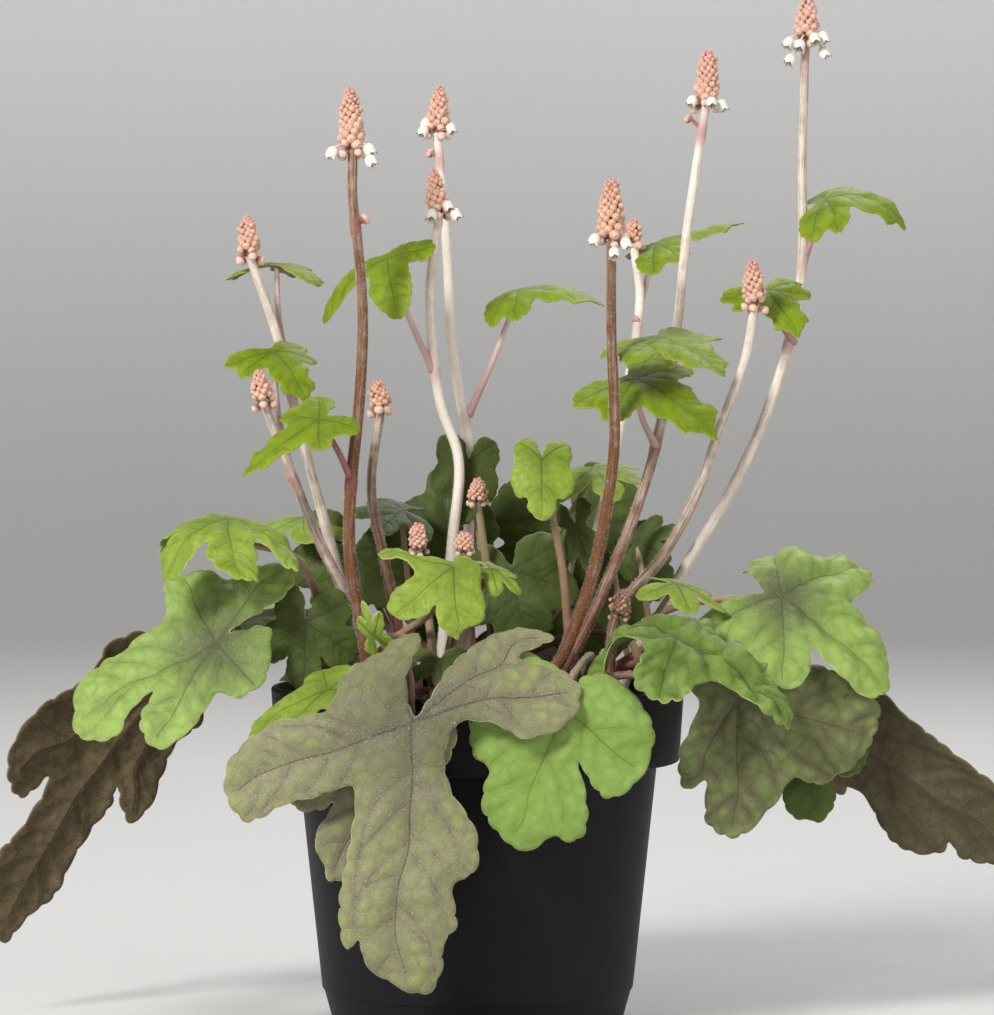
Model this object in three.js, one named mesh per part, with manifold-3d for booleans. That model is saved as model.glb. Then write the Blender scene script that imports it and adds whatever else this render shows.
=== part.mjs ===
// Potted heartleaf foamflower in a round nursery pot.
// Units are millimetres and +Z is up. The pot's flat base stands on z = 0, and the plant's front faces -Y.
import * as THREE from "three";
import { mergeVertices } from "three/addons/utils/BufferGeometryUtils.js";
import Module from "manifold-3d";

const wasm = await Module();
wasm.setup();
const { Manifold, Mesh } = wasm;

// Driving sizes
const POT_HEIGHT = 105;
const POT_RIM_R = 65;
const RIM_FOOT_Z = 81.5;
const RIM_FOOT_R = 63.5;
const BODY_TOP_R = 56.6;
const STEP_Z = 10;
const STEP_R = 48.5;
const BASE_R = 45.8;
const WALL = 1.6;
const FLOOR = 2.2;
const DRAIN_R = 4;
const DRAIN_RING_R = 32;
const SOIL_EDGE_Z = 97;
const SOIL_RISE = 5;
const FIT = 0.35;
const BLADE = 0.8;
const STEM_R = 1.9;
const PETIOLE_R = 0.95;
const MOUNDS = { left: [-34, -6], right: [32, -2], back: [0, 28] };
const MOUND_R = 7.5;
const MOUND_TOP = 110;

// Colours
const COLOR = {
  pot: 0x26282a,
  soil: 0x2e2118,
  crown: 0x8a5a50,
  purple: 0x74785a,
  green: 0x6f9a3c,
  bright: 0x86b43f,
  lime: 0xa0bf3a,
  dark: 0x4f5f3c,
  brown: 0x6d5f4c,
  stem: 0xb89a88,
  brownStem: 0x7d5743,
  bud: 0xc99a7c,
};

// Flat blade outlines in mm. The stalk joins at 0,0, x is across and y points to the tip of the middle lobe.
const OAK = [
  [-2, -4], [0, -14], [-4, -32], [3, -31], [8, -25], [19, -18], [25, -6], [41, -3], [54, 6], [57, 14],
  [56, 20], [51, 26], [46, 25], [40, 22], [29, 20], [19, 18], [20, 32], [23, 43], [25, 52], [25, 62],
  [23, 66], [20, 63], [19, 69], [15, 74], [10, 77], [5, 80], [0, 80], [-4, 73], [-5, 66], [-9, 61],
  [-9, 49], [-15, 46], [-17, 40], [-16, 32], [-10, 21], [-9, 10], [-14, 1], [-24, 2], [-33, 7],
  [-47, 2], [-51, -8], [-47, -15], [-33, -20], [-44, -29], [-40, -33], [-26, -30], [-13, -18], [-6, -8],
];
const LEFT_GREEN = [
  [0, -5], [-5, -16], [-12, -13], [-20, -7], [-22, -1], [-21, 4], [-15, 8], [-18, 15], [-21, 24], [-19, 33],
  [-13, 34], [-7, 31], [-2, 24], [-3, 32], [-8, 40], [-5, 47], [1, 51], [9, 48], [18, 42], [19, 34],
  [18, 22], [19, 10], [24, 6], [30, 4], [31, -3], [28, -10], [20, -14], [20, -22], [14, -32], [7, -31],
  [2, -20],
];
const FAR_LEFT = [
  [0, -4], [-8, -12], [-18, -12], [-25, -3], [-24, 8], [-32, 22], [-35, 32], [-34, 41], [-29, 49], [-21, 52],
  [-16, 42], [-15, 51], [-15, 61], [-17, 69], [-13, 81], [-6, 91], [2, 94], [4, 84], [8, 74], [7, 62],
  [7, 50], [8, 40], [6, 34], [11, 39], [16, 42], [19, 36], [17, 25], [15, 12], [18, 4], [14, -6], [7, -10],
];
const FRONT_GREEN = [
  [0, -4], [4, -13], [14, -17], [23, -12], [28, -3], [27, 8], [24, 18], [18, 22], [19, 28], [17, 35],
  [11, 40], [6, 43], [0, 42], [-5, 37], [-9, 38], [-13, 36], [-13.5, 30], [-11.5, 23], [-7.5, 14], [-13, 20],
  [-18, 23], [-24, 19], [-28, 11], [-28, 1], [-22, -8], [-12, -14], [-4, -12],
];
const RIGHT_OLIVE = [
  [0, -3], [-4, -11], [-14, -13], [-27, -11], [-38, -5], [-45, 2], [-44, 12], [-37, 20], [-32, 23], [-25, 26],
  [-17, 24], [-11, 33], [-5, 39], [-1, 42], [4, 42], [10, 37], [10, 30], [10, 25], [16, 28], [18, 24],
  [18, 16], [15, 9], [12, 2], [16, -7], [10, -13], [4, -12],
];
const FAR_RIGHT = [
  [0, -4], [8, -13], [18, -12], [22, -2], [22, 14], [23, 30], [24, 46], [20, 57], [14, 63], [6, 66],
  [1, 62], [-3, 56], [-2, 50], [-6, 51], [-12, 46], [-15, 38], [-13, 29], [-10, 20], [-14, 12], [-16, 0],
  [-12, -9], [-6, -12],
];
const BROAD = [
  [0, -5], [2, -26], [8, -35], [13, -30], [14, -18], [19, -15], [24, -6], [26, 5], [21, 8], [16, 10],
  [15, 18], [15, 32], [14, 42], [8, 47], [1, 50], [-4, 46], [-4, 38], [-1, 26], [-8, 33], [-15, 34],
  [-18, 25], [-15, 14], [-12, 8], [-17, 3], [-19, -8], [-13, -17], [-6, -20],
];
const FAN = [
  [0, -3], [4, -15], [11, -23], [21, -23], [30, -14], [30, -5], [27, -1], [36, 2], [41, 11], [37, 21],
  [27, 27], [17, 24], [13, 20], [14, 29], [11, 37], [6, 39], [1, 43], [-5, 41], [-11, 36], [-14, 28],
  [-13, 20], [-19, 25], [-28, 27], [-36, 21], [-40, 11], [-36, 2], [-27, -1], [-31, -6], [-30, -14],
  [-22, -23], [-12, -24], [-4, -15],
];
const LONG = [
  [0, -4], [6, -15], [17, -21], [27, -15], [29, -4], [22, 6], [27, 14], [31, 28], [28, 40], [21, 45],
  [14, 38], [10, 33], [14, 45], [16, 58], [17, 70], [12, 79], [10, 86], [3, 93], [-4, 92], [-9, 84],
  [-14, 78], [-15, 66], [-13, 54], [-10, 42], [-14, 46], [-24, 52], [-31, 46], [-34, 32], [-28, 17],
  [-22, 8], [-29, -3], [-26, -15], [-16, -21], [-6, -15],
];
const CURLED = [
  [0, -14], [6, -33], [14, -33], [22, -28], [24, -22], [16, -20], [9, -17], [7, -11], [10, -6], [18, -5],
  [22, -4], [24, 3], [24, 9], [20, 14], [14, 15], [8, 20], [7, 28], [6, 37], [0, 44], [-6, 38],
  [-8, 30], [-13, 24], [-13, 12], [-18, 2], [-15, -8], [-20, -20], [-14, -32], [-6, -34],
];
const LOBED = [
  [0, -2], [7, -5], [12, -6], [16, -10], [21, -13], [23, -10], [21, -6], [16, -5], [12, 1], [15, 4],
  [19, 7], [21, 12], [18, 16], [13, 17], [9, 16], [6, 13], [6, 18], [3, 22], [0, 24], [-2, 21],
  [-5, 20], [-8, 18], [-9, 12], [-8, 5], [-9, 0], [-6, -3], [-2, -4],
];
const RIGHT_GREEN = [
  [3, -5], [-2, -14], [-6, -23], [-13, -26], [-20, -23], [-24, -14], [-25, -5], [-36, -3], [-40, 6],
  [-35, 13], [-26, 15], [-17, 16], [-15, 24], [-14, 31], [-9, 39], [-2, 44], [4, 43], [7, 36], [8, 28],
  [8, 19], [12, 22], [17, 25], [23, 22], [26, 15], [24, 8], [22, 1], [32, -4], [38, -12], [36, -20],
  [27, -22], [17, -18], [8, -12],
];
const YOUNG = [
  [0, -2], [5, -9], [13, -13], [20, -12], [24, -7], [21, -3], [13, 0], [20, 4], [23, 10], [20, 14],
  [11, 13], [6, 10], [7, 16], [5, 20], [0, 23], [-5, 20], [-7, 16], [-6, 10], [-11, 14], [-19, 14],
  [-23, 9], [-19, 4], [-13, 0], [-22, -4], [-24, -8], [-19, -12], [-12, -13], [-5, -9],
];
const ROUND = [
  [0, -2], [4, -10], [11, -14], [19, -12], [22, -5], [20, 1], [23, 6], [22, 13], [16, 17], [11, 17],
  [10, 22], [5, 26], [0, 27], [-5, 26], [-10, 22], [-11, 17], [-16, 17], [-22, 13], [-23, 6], [-20, 1],
  [-22, -5], [-19, -12], [-11, -14], [-4, -10],
];
const THREE_LOBED = [
  [0, -3], [7, -8], [15, -9], [20, -5], [17, 0], [19, 4], [15, 8], [8, 8], [9, 13], [7, 17], [8, 21],
  [3, 24], [0, 28], [-4, 24], [-8, 21], [-7, 16], [-9, 12], [-8, 8], [-15, 8], [-20, 4], [-17, 0],
  [-20, -5], [-15, -9], [-7, -8],
];
const SLENDER = [
  [0, -3], [6, -5], [16, -6], [31, -4], [37, 0], [31, 5], [16, 5], [8, 5], [9, 12], [7, 20], [2, 26],
  [-3, 24], [-6, 18], [-7, 10], [-7, 6], [-13, 7], [-17, 3], [-16, -3], [-8, -5],
];

// Mature leaves. at: where the stalk joins; along: towards the middle lobe; face: out of the upper side;
// bend: degrees the front, back, +x side and -x side curl down; from: the mound its stalk grows from.
const LEAVES = [
  { name: "leaf_front_purple", outline: OAK, size: 1, color: "purple",
    at: [-19, -75, 99], along: [0.07, -0.3, -0.95], face: [0, -0.95, 0.3], bend: [22, 42, 8, 10],
    from: "left", via: [[-26, -34, 117], [-20, -62, 112]] },
  { name: "leaf_front_olive", outline: FAN, size: 0.95, color: "purple", sides: [0.75, 0.55],
    at: [-26, -69, 88], along: [-0.42, -0.1, -0.88], face: [-0.15, -1, 0.1], bend: [5, 10, 10, 10],
    from: "left", lean: 0.85, via: [[-25, -34, 113], [-25, -60, 110]] },
  { name: "leaf_front_lime", outline: BROAD, size: 0.58, color: "lime",
    at: [-45, -52, 107], along: [-0.88, -0.12, -0.42], face: [-0.35, -0.45, 0.8], bend: [20, 10, 10, 20],
    from: "left", lean: 0.75, via: [[-38.5, -28, 114]] },
  { name: "leaf_left_green", outline: LEFT_GREEN, size: 1, color: "green",
    at: [-80, -32, 120], along: [-0.84, -0.12, -0.53], face: [-0.25, -0.8, 0.55], bend: [8, 14, 8, 8],
    from: "left", via: [[-56, -10, 115]] },
  { name: "leaf_far_left", outline: FAR_LEFT, size: 1, color: "brown",
    at: [-100, 3, 104], along: [-0.56, 0, -0.83], face: [-0.4, 0.9, 0.25], bend: [8, 10, 14, 14],
    from: "left" },
  { name: "leaf_left_lime", outline: YOUNG, size: 1.3, color: "lime",
    at: [-77, -28, 158], along: [-0.8, -0.55, -0.15], face: [-0.3, -0.4, 0.87], bend: [65, 40, 60, 45],
    from: "left", via: [[-48, -9, 128], [-56, -24, 146]] },
  { name: "leaf_front_green", outline: FRONT_GREEN, size: 1, color: "bright",
    at: [26, -67, 102], along: [-0.2, -0.12, -0.97], face: [0.05, -0.97, 0.15], bend: [8, 50, 8, 8],
    from: "right", lean: 0.7, via: [[35, -30, 116], [29, -56, 112]] },
  { name: "leaf_front_curled", outline: CURLED, size: 1, color: "bright",
    at: [60, -52, 121], along: [0.85, -0.35, -0.38], face: [0, -0.35, 0.93], bend: [25, 80, 48, 20],
    from: "right", via: [[46, -27, 110], [54, -42, 111]] },
  { name: "leaf_right_green", outline: RIGHT_GREEN, size: 1, color: "green",
    at: [94, -24, 134], along: [0.735, -0.414, -0.536], face: [0.05, -0.75, 0.65], bend: [28, 62, 26, 38],
    from: "right", via: [[57, -9, 128], [80, -16, 133]] },
  { name: "leaf_right_olive", outline: RIGHT_OLIVE, size: 1, color: "dark",
    at: [80, -34, 103], along: [0, -0.15, -1], face: [0.12, -0.95, 0.2], bend: [6, 25, 8, 12],
    from: "right", lean: 0.7, via: [[56, -10, 114], [71, -24, 110]] },
  { name: "leaf_right_under", outline: FAN, size: 0.6, color: "dark",
    at: [97, -22, 88], along: [0.35, -0.05, -0.9], face: [0.1, -1, 0.1], bend: [8, 10, 10, 10],
    from: "right", lean: 0.8, via: [[56, -6, 116], [86, -16, 108]] },
  { name: "leaf_far_right", outline: FAR_RIGHT, size: 1, color: "brown",
    at: [112, -8, 91], along: [0.76, 0.05, -0.65], face: [0.3, 0.9, 0.35], bend: [8, 10, 12, 12],
    from: "right" },
  { name: "leaf_middle_lobed", outline: LOBED, size: 1, color: "lime",
    at: [-7, -45, 144], along: [0.05, -0.6, -0.8], face: [0, -0.75, 0.65], bend: [20, 25, 15, 25],
    from: "left", via: [[-29, -24, 118], [-13, -38, 131]] },
  { name: "leaf_middle_top", outline: ROUND, size: 0.75, color: "lime", sides: [0.55, 0.6],
    at: [20, -16, 176], along: [0, -0.5, -0.86], face: [0.05, -0.8, 0.5], bend: [15, 40, 25, 25],
    from: "right" },
  { name: "leaf_left_shade", outline: FAN, size: 0.5, color: "dark", sides: [0.7, 0.9],
    at: [-53, -25, 126], along: [-0.1, -0.15, -0.95], face: [-0.1, -0.95, 0.25], bend: [15, 20, 20, 20],
    from: "left", via: [[-52, -9, 119]] },
  { name: "leaf_back_1", outline: LONG, size: 0.68, color: "purple",
    at: [84, 33, 112], along: [0.7, 0.5, -0.4], face: [0.3, 0.4, 0.85], bend: [50, 20, 30, 30],
    from: "back" },
  { name: "leaf_back_2", outline: FAN, size: 1, color: "green", sides: [0.8, 0.8],
    at: [30, 34, 151], along: [0.15, 0.05, -1], face: [0.1, -0.95, 0.15], bend: [15, 40, 20, 20],
    from: "back", lean: 0.2, via: [[13, 47, 130], [27, 47, 145]] },
  { name: "leaf_back_3", outline: BROAD, size: 1.3, color: "dark",
    at: [16, 78, 106], along: [0.1, 0.8, -0.6], face: [0.1, 0.6, 0.8], bend: [45, 20, 30, 30],
    from: "back" },
  { name: "leaf_back_4", outline: BROAD, size: 0.72, color: "green", sides: [1.1, 1.1],
    at: [-9, 25, 151], along: [-0.15, 0.05, -1], face: [-0.1, -0.95, 0.15], bend: [10, 40, 15, 15],
    from: "back", lean: 0.2, via: [[-3, 37, 130], [-7, 36, 144]] },
  { name: "leaf_back_5", outline: LONG, size: 0.72, color: "purple",
    at: [-47, 66, 106], along: [-0.2, 0.8, -0.6], face: [-0.2, 0.6, 0.8], bend: [45, 20, 30, 30],
    from: "back" },
  { name: "leaf_back_6", outline: FAN, size: 0.85, color: "green",
    at: [-80, 34, 124], along: [-0.8, 0.5, -0.35], face: [-0.35, 0.2, 0.9], bend: [45, 20, 30, 30],
    from: "back" },
];

// Young leaves that stand among the stems, each group grown together on one foot in the soil.
// Some hold a young flower stalk as well, with its head still small.
const TUFTS = [
  { name: "young_leaves_left", foot: [-20, 16], leaves: [
    { at: [-24, 5, 160], along: [-0.95, -0.15, 0.1], face: [0, -0.4, 1], size: 0.75,
      bend: [25, 20, 30, 20], via: [-22, 12, 134] },
    { at: [-56, 20, 157], along: [-0.8, -0.5, -0.2], face: [-0.2, -0.3, 1], size: 0.75,
      bend: [30, 20, 30, 30], via: [-36, 20, 136] },
    { at: [-40, 11, 147], along: [-0.25, -0.2, -0.9], face: [-0.1, -0.95, 0.2], size: 0.9, outline: ROUND,
      bend: [20, 20, 25, 25], via: [-28, 22, 126] },
  ] },
  { name: "young_leaves_front", foot: [-12, -38], leaves: [
    { at: [-31, -48, 123], along: [-0.35, -0.2, 0.9], face: [-0.3, -0.9, 0], size: 0.5,
      sides: [0.4, 0.4], bend: [20, 20, 30, 30], via: [-19, -40, 121] },
    { at: [-11, -50, 116], along: [0.1, -0.6, -0.7], face: [0, -0.7, 0.7], size: 0.45,
      bend: [10, 20, 20, 20], via: [-12, -45, 114] },
    { at: [4, -37, 143], along: [0.85, -0.3, -0.35], face: [0.25, -0.6, 0.8], size: 0.55,
      sides: [0.6, 0.5], bend: [40, 20, 50, 40], via: [-4, -37, 126] },
  ], heads: [
    { at: [-18, -31, 149], tip: [-18, -33, 158], via: [-15, -28, 128] },
    { at: [-4, -33, 148], tip: [-4, -34, 155], via: [-7, -35, 126] },
  ] },
  { name: "young_leaves_middle", foot: [6, 10], leaves: [
    { at: [-3, 6.5, 175], along: [-0.1, -0.35, -0.93], face: [0.1, -0.93, 0.37], size: 0.75,
      outline: ROUND, sides: [0.65, 0.6], bend: [15, 20, 15, 15], via: [2, 6, 140] },
    { at: [37, 6, 173], along: [0.35, -0.8, -0.3], face: [0.05, -0.4, 0.92], size: 0.75,
      bend: [35, 30, 35, 25], via: [18, 12, 138] },
    { at: [11, 2, 141], along: [0.2, -0.3, -0.9], face: [0.05, -0.9, 0.35], size: 0.9, outline: ROUND,
      bend: [20, 20, 25, 25], via: [9, 10, 126] },
    { at: [31, -3, 155], along: [0.25, -0.3, -0.9], face: [-0.3, -0.8, 0.3], size: 0.75,
      sides: [0.35, 0.35], bend: [20, 20, 30, 30], via: [27, 12, 132] },
  ], heads: [{ at: [0, -3, 163], tip: [0, -5, 171], via: [4, 3, 132] }] },
  { name: "young_leaves_right", foot: [55, -17], leaves: [
    { at: [50, 3, 150], along: [0.85, -0.3, 0.45], face: [-0.35, -0.7, 0.6], size: 0.7,
      sides: [0.7, 0.6], bend: [25, 20, 45, 30], via: [53, -15, 128] },
    { at: [61, -27, 138], along: [0.9, -0.3, -0.25], face: [0, -0.35, 0.93], size: 0.8,
      sides: [0.6, 0.3], bend: [25, 20, 30, 30], via: [54, -21, 124] },
    { at: [43, 13.5, 144], along: [0.1, -0.03, -0.98], face: [0.05, -0.98, 0.03], size: 0.85, outline: ROUND,
      bend: [8, 10, 12, 12], via: [48, 1, 112] },
  ], heads: [{ at: [44, -22, 128], tip: [45, -24, 137], via: [50, -19, 115] }] },
];

// Leafy flower stems from the soil up, each with its leaves and its head.
const STEMS = [
  { name: "stem_a", color: "stem",
    path: [[-35, 6, 104], [-42, 2, 132], [-47, 3, 151], [-57, 5, 189], [-64, 6, 217]],
    top: [-72, 7, 240], tip: [-73, 8, 254], leaves: [
      { at: [-64, 15, 238], along: [0.2, 0.9, 0.1], face: [0, -0.35, 1], size: 0.85,
        bend: [25, 20, 40, 40], node: [-58, 5, 197], via: [-63, 11, 220] },
    ] },
  { name: "stem_b", color: "stem",
    path: [[-42, -18, 104], [-41, -18, 133], [-49, -20, 151], [-59, -22, 176]],
    top: [-66, -23, 194], tip: [-68, -24, 205], leaves: [
      { at: [-64, -5, 209], along: [0.55, -0.65, -0.5], face: [0.1, -0.45, 0.9], size: 0.8,
        bend: [30, 10, 35, 30], node: [-57, -22, 170], via: [-62, -12, 190] },
    ] },
  { name: "stem_c", color: "brownStem", thick: 1.1,
    path: [[-33, -28, 104], [-34, -30, 116], [-39, -31, 146], [-39, -32, 164], [-36, -32, 196],
      [-35, -33, 219], [-36, -33, 237], [-38, -34, 256]],
    top: [-38, -34, 271], tip: [-39, -34, 291],
    bells: [[-43.4, -35, 272], [-33.8, -35.4, 272.8], [-33.3, -36.4, 269.4]],
    buds: [{ from: [-37, -33.5, 248], at: [-34.3, -33, 250] }], leaves: [
      { at: [-48, -40, 188.5], along: [-0.82, -0.25, -0.5], face: [-0.35, -0.6, 0.72], size: 1.05,
        sides: [0.75, 0.6], bend: [15, 30, 10, 15], node: [-38, -32, 169], via: [-43, -36, 180] },
    ] },
  { name: "stem_d", color: "brownStem",
    path: [[-22, -14, 104], [-24, -14, 120], [-29, -14, 145], [-33, -14, 167]],
    top: [-30, -14, 192], tip: [-31, -14, 202], leaves: [] },
  { name: "stem_e", color: "stem",
    path: [[-4, 12, 104], [-3, 12, 150], [-2, 12, 177], [-5, 13, 192], [-8, 15, 211], [-10, 18, 243]],
    top: [-13, 21, 280], tip: [-12, 22, 296],
    bells: [[-15.4, 21, 285], [-16.6, 19, 282.2], [-9.4, 20, 283.2]],
    buds: [{ from: [-12.7, 20.3, 272], at: [-14.8, 19.6, 274] }], leaves: [
      { at: [13, 19, 230], along: [0.92, -0.35, 0.1], face: [-0.1, -0.15, 0.98], size: 1.05,
        bend: [35, 20, 50, 20], node: [-3, 13, 190], via: [5, 16, 208] },
    ] },
  { name: "stem_f", color: "stem",
    path: [[-12, 2, 104], [-8, 0, 150], [-6, 0, 176], [-12, 0, 195], [-15, 0, 229]],
    top: [-12, 0, 253], tip: [-14, 0, 268],
    bells: [[-10.2, -1.5, 257.2], [-8, -1.5, 254.8], [-14.2, -3.8, 254.6]], leaves: [
      { at: [-28, -8, 239], along: [0.1, -0.75, -0.65], face: [-0.45, -0.3, 0.85], size: 0.9,
        outline: SLENDER, bend: [30, 10, 40, 20], node: [-14, 0, 204], via: [-22, -5, 222] },
    ] },
  { name: "stem_g", color: "brownStem", thick: 1.1,
    path: [[20, -33, 104], [27, -34, 118], [35, -35, 140], [40, -35, 164], [42, -36, 182], [41, -37, 216]],
    top: [41, -37, 243], tip: [41, -38, 263],
    bells: [[36.6, -39, 245.2], [41.6, -41.6, 241], [44.6, -39.5, 244]], leaves: [] },
  { name: "stem_h", color: "stem",
    path: [[26, 17, 104], [33, 19, 135], [39, 22, 156], [46, 25, 189], [52, 28, 227]],
    top: [50, 29, 245], tip: [50, 30, 254], leaves: [
      { at: [57, 33, 246], along: [0.92, 0.05, 0.33], face: [-0.3, -0.2, 0.93], size: 1.05,
        bend: [15, 10, 30, 30], node: [51, 27, 220], via: [54, 31, 232] },
    ] },
  { name: "stem_i", color: "stem",
    path: [[24, -19, 104], [35, -15, 126], [51, -7, 164], [57, -3, 185], [63, 1, 220], [66, 4, 248]],
    top: [72, 6, 288], tip: [73, 7, 306],
    bells: [[68.4, 4.5, 290.6], [76.2, 5, 289.4], [73.4, 2, 290]],
    buds: [{ from: [71, 6, 280], at: [66.8, 5, 284] }], leaves: [
      { at: [57, -23, 214], along: [0.6, -0.7, -0.25], face: [0, -0.3, 0.9], size: 1.05,
        bend: [20, 10, 20, 20], node: [61.5, 0, 210], via: [60, -12, 213] },
      { at: [49, -19, 201], along: [0.78, -0.5, -0.4], face: [0, -0.5, 0.85], size: 1.2,
        sides: [0.95, 0.95], bend: [20, 10, 15, 15], node: [56, -4, 180], via: [51, -13, 190] },
    ] },
  { name: "stem_j", color: "brownStem",
    path: [[41, -12, 104], [44, -12, 129], [57, -13, 145], [69, -14, 167], [75, -15, 185], [83, -16, 207]],
    top: [86, -17, 224], tip: [85, -18, 239], leaves: [] },
  { name: "stem_k", color: "stem",
    path: [[46, 8, 104], [64, 6, 139], [80, 7, 166], [93, 8, 195], [102, 10, 230], [103, 12, 274]],
    top: [104, 13, 309], tip: [105, 14, 326],
    bells: [[99.6, 12, 309.8], [102.2, 9, 308.6], [99.9, 11, 304.4], [106.2, 9.4, 310.8],
      [108.6, 12.4, 311.6], [109, 12, 306.8], [104.6, 17.8, 309]], leaves: [
      { at: [110, 6, 258], along: [0.92, -0.25, 0.3], face: [-0.3, -0.3, 0.9], size: 1.05,
        bend: [80, 10, 35, 20], node: [103, 11, 238], via: [107, 10, 249] },
      { at: [91, -4, 229], along: [0.45, -0.7, -0.55], face: [0, -0.4, 0.9], size: 0.75,
        bend: [25, 10, 20, 20], node: [100, 9, 213], via: [95, 2, 220] },
    ] },
];

// Small vector helpers
const vec = (p) => new THREE.Vector3(p[0], p[1], p[2]);
const rad = THREE.MathUtils.degToRad;

// A closed body from points and triangle corners.
function body(points, faces) {
  const geometry = new THREE.BufferGeometry();
  const numbers = points.flatMap((p) => [p.x, p.y, p.z]);
  geometry.setAttribute("position", new THREE.Float32BufferAttribute(numbers, 3));
  geometry.setIndex(faces.flat());
  return geometry;
}

// The same body for joining and cutting, and back.
function solid(geometry) {
  const bare = new THREE.BufferGeometry();
  const loose = geometry.index ? geometry.toNonIndexed() : geometry;
  bare.setAttribute("position", loose.getAttribute("position"));
  const merged = mergeVertices(bare, 1e-4);
  return new Manifold(
    new Mesh({
      numProp: 3,
      vertProperties: merged.attributes.position.array,
      triVerts: new Uint32Array(merged.index.array),
    }),
  );
}
function plain(made) {
  const mesh = made.getMesh();
  const geometry = new THREE.BufferGeometry();
  geometry.setAttribute("position", new THREE.Float32BufferAttribute(mesh.vertProperties, 3));
  geometry.setIndex(Array.from(mesh.triVerts));
  return geometry;
}
const joined = (geometries) => plain(Manifold.union(geometries.map(solid)));

// A body of revolution about Z from a list of [radius, height] points, from the axis out and back to it.
function turned(profile, sides, bump = () => 0) {
  const points = [];
  const rows = profile.map(([r, z], k) => {
    if (r < 1e-6) {
      points.push(new THREE.Vector3(0, 0, z));
      return [points.length - 1];
    }
    return Array.from({ length: sides }, (_, i) => {
      const a = (i / sides) * 2 * Math.PI;
      points.push(new THREE.Vector3(r * Math.cos(a), r * Math.sin(a), z + bump(k, i)));
      return points.length - 1;
    });
  });
  const faces = [];
  for (let k = 0; k + 1 < rows.length; k += 1) {
    const low = rows[k];
    const high = rows[k + 1];
    for (let i = 0; i < sides; i += 1) {
      const a = low[i % low.length];
      const b = low[(i + 1) % low.length];
      const c = high[(i + 1) % high.length];
      const d = high[i % high.length];
      if (a !== b) faces.push([a, b, c]);
      if (c !== d) faces.push([a, c, d]);
    }
  }
  return body(points, faces);
}

// A closed tube through the given points, with a radius for each share of its length and domed ends.
function tube(path, radius, sides, steps) {
  const curve = new THREE.CatmullRomCurve3(path.map(vec), false, "centripetal");
  const frames = curve.computeFrenetFrames(steps, false);
  const points = [];
  const faces = [];
  for (let k = 0; k <= steps; k += 1) {
    const centre = curve.getPointAt(k / steps);
    for (let i = 0; i < sides; i += 1) {
      const a = (i / sides) * 2 * Math.PI;
      const r = radius(k / steps);
      const out = frames.normals[k].clone().multiplyScalar(Math.cos(a) * r);
      out.addScaledVector(frames.binormals[k], Math.sin(a) * r);
      points.push(centre.clone().add(out));
    }
  }
  for (let k = 0; k < steps; k += 1) {
    for (let i = 0; i < sides; i += 1) {
      const a = k * sides + i;
      const b = k * sides + ((i + 1) % sides);
      faces.push([a, b, b + sides], [a, b + sides, a + sides]);
    }
  }
  const start = points.length;
  points.push(curve.getPointAt(0).addScaledVector(frames.tangents[0], -0.3 * radius(0)));
  points.push(curve.getPointAt(1).addScaledVector(frames.tangents[steps], 0.3 * radius(1)));
  for (let i = 0; i < sides; i += 1) {
    const j = (i + 1) % sides;
    faces.push([start, j, i], [start + 1, steps * sides + i, steps * sides + j]);
  }
  return body(points, faces);
}

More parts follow.
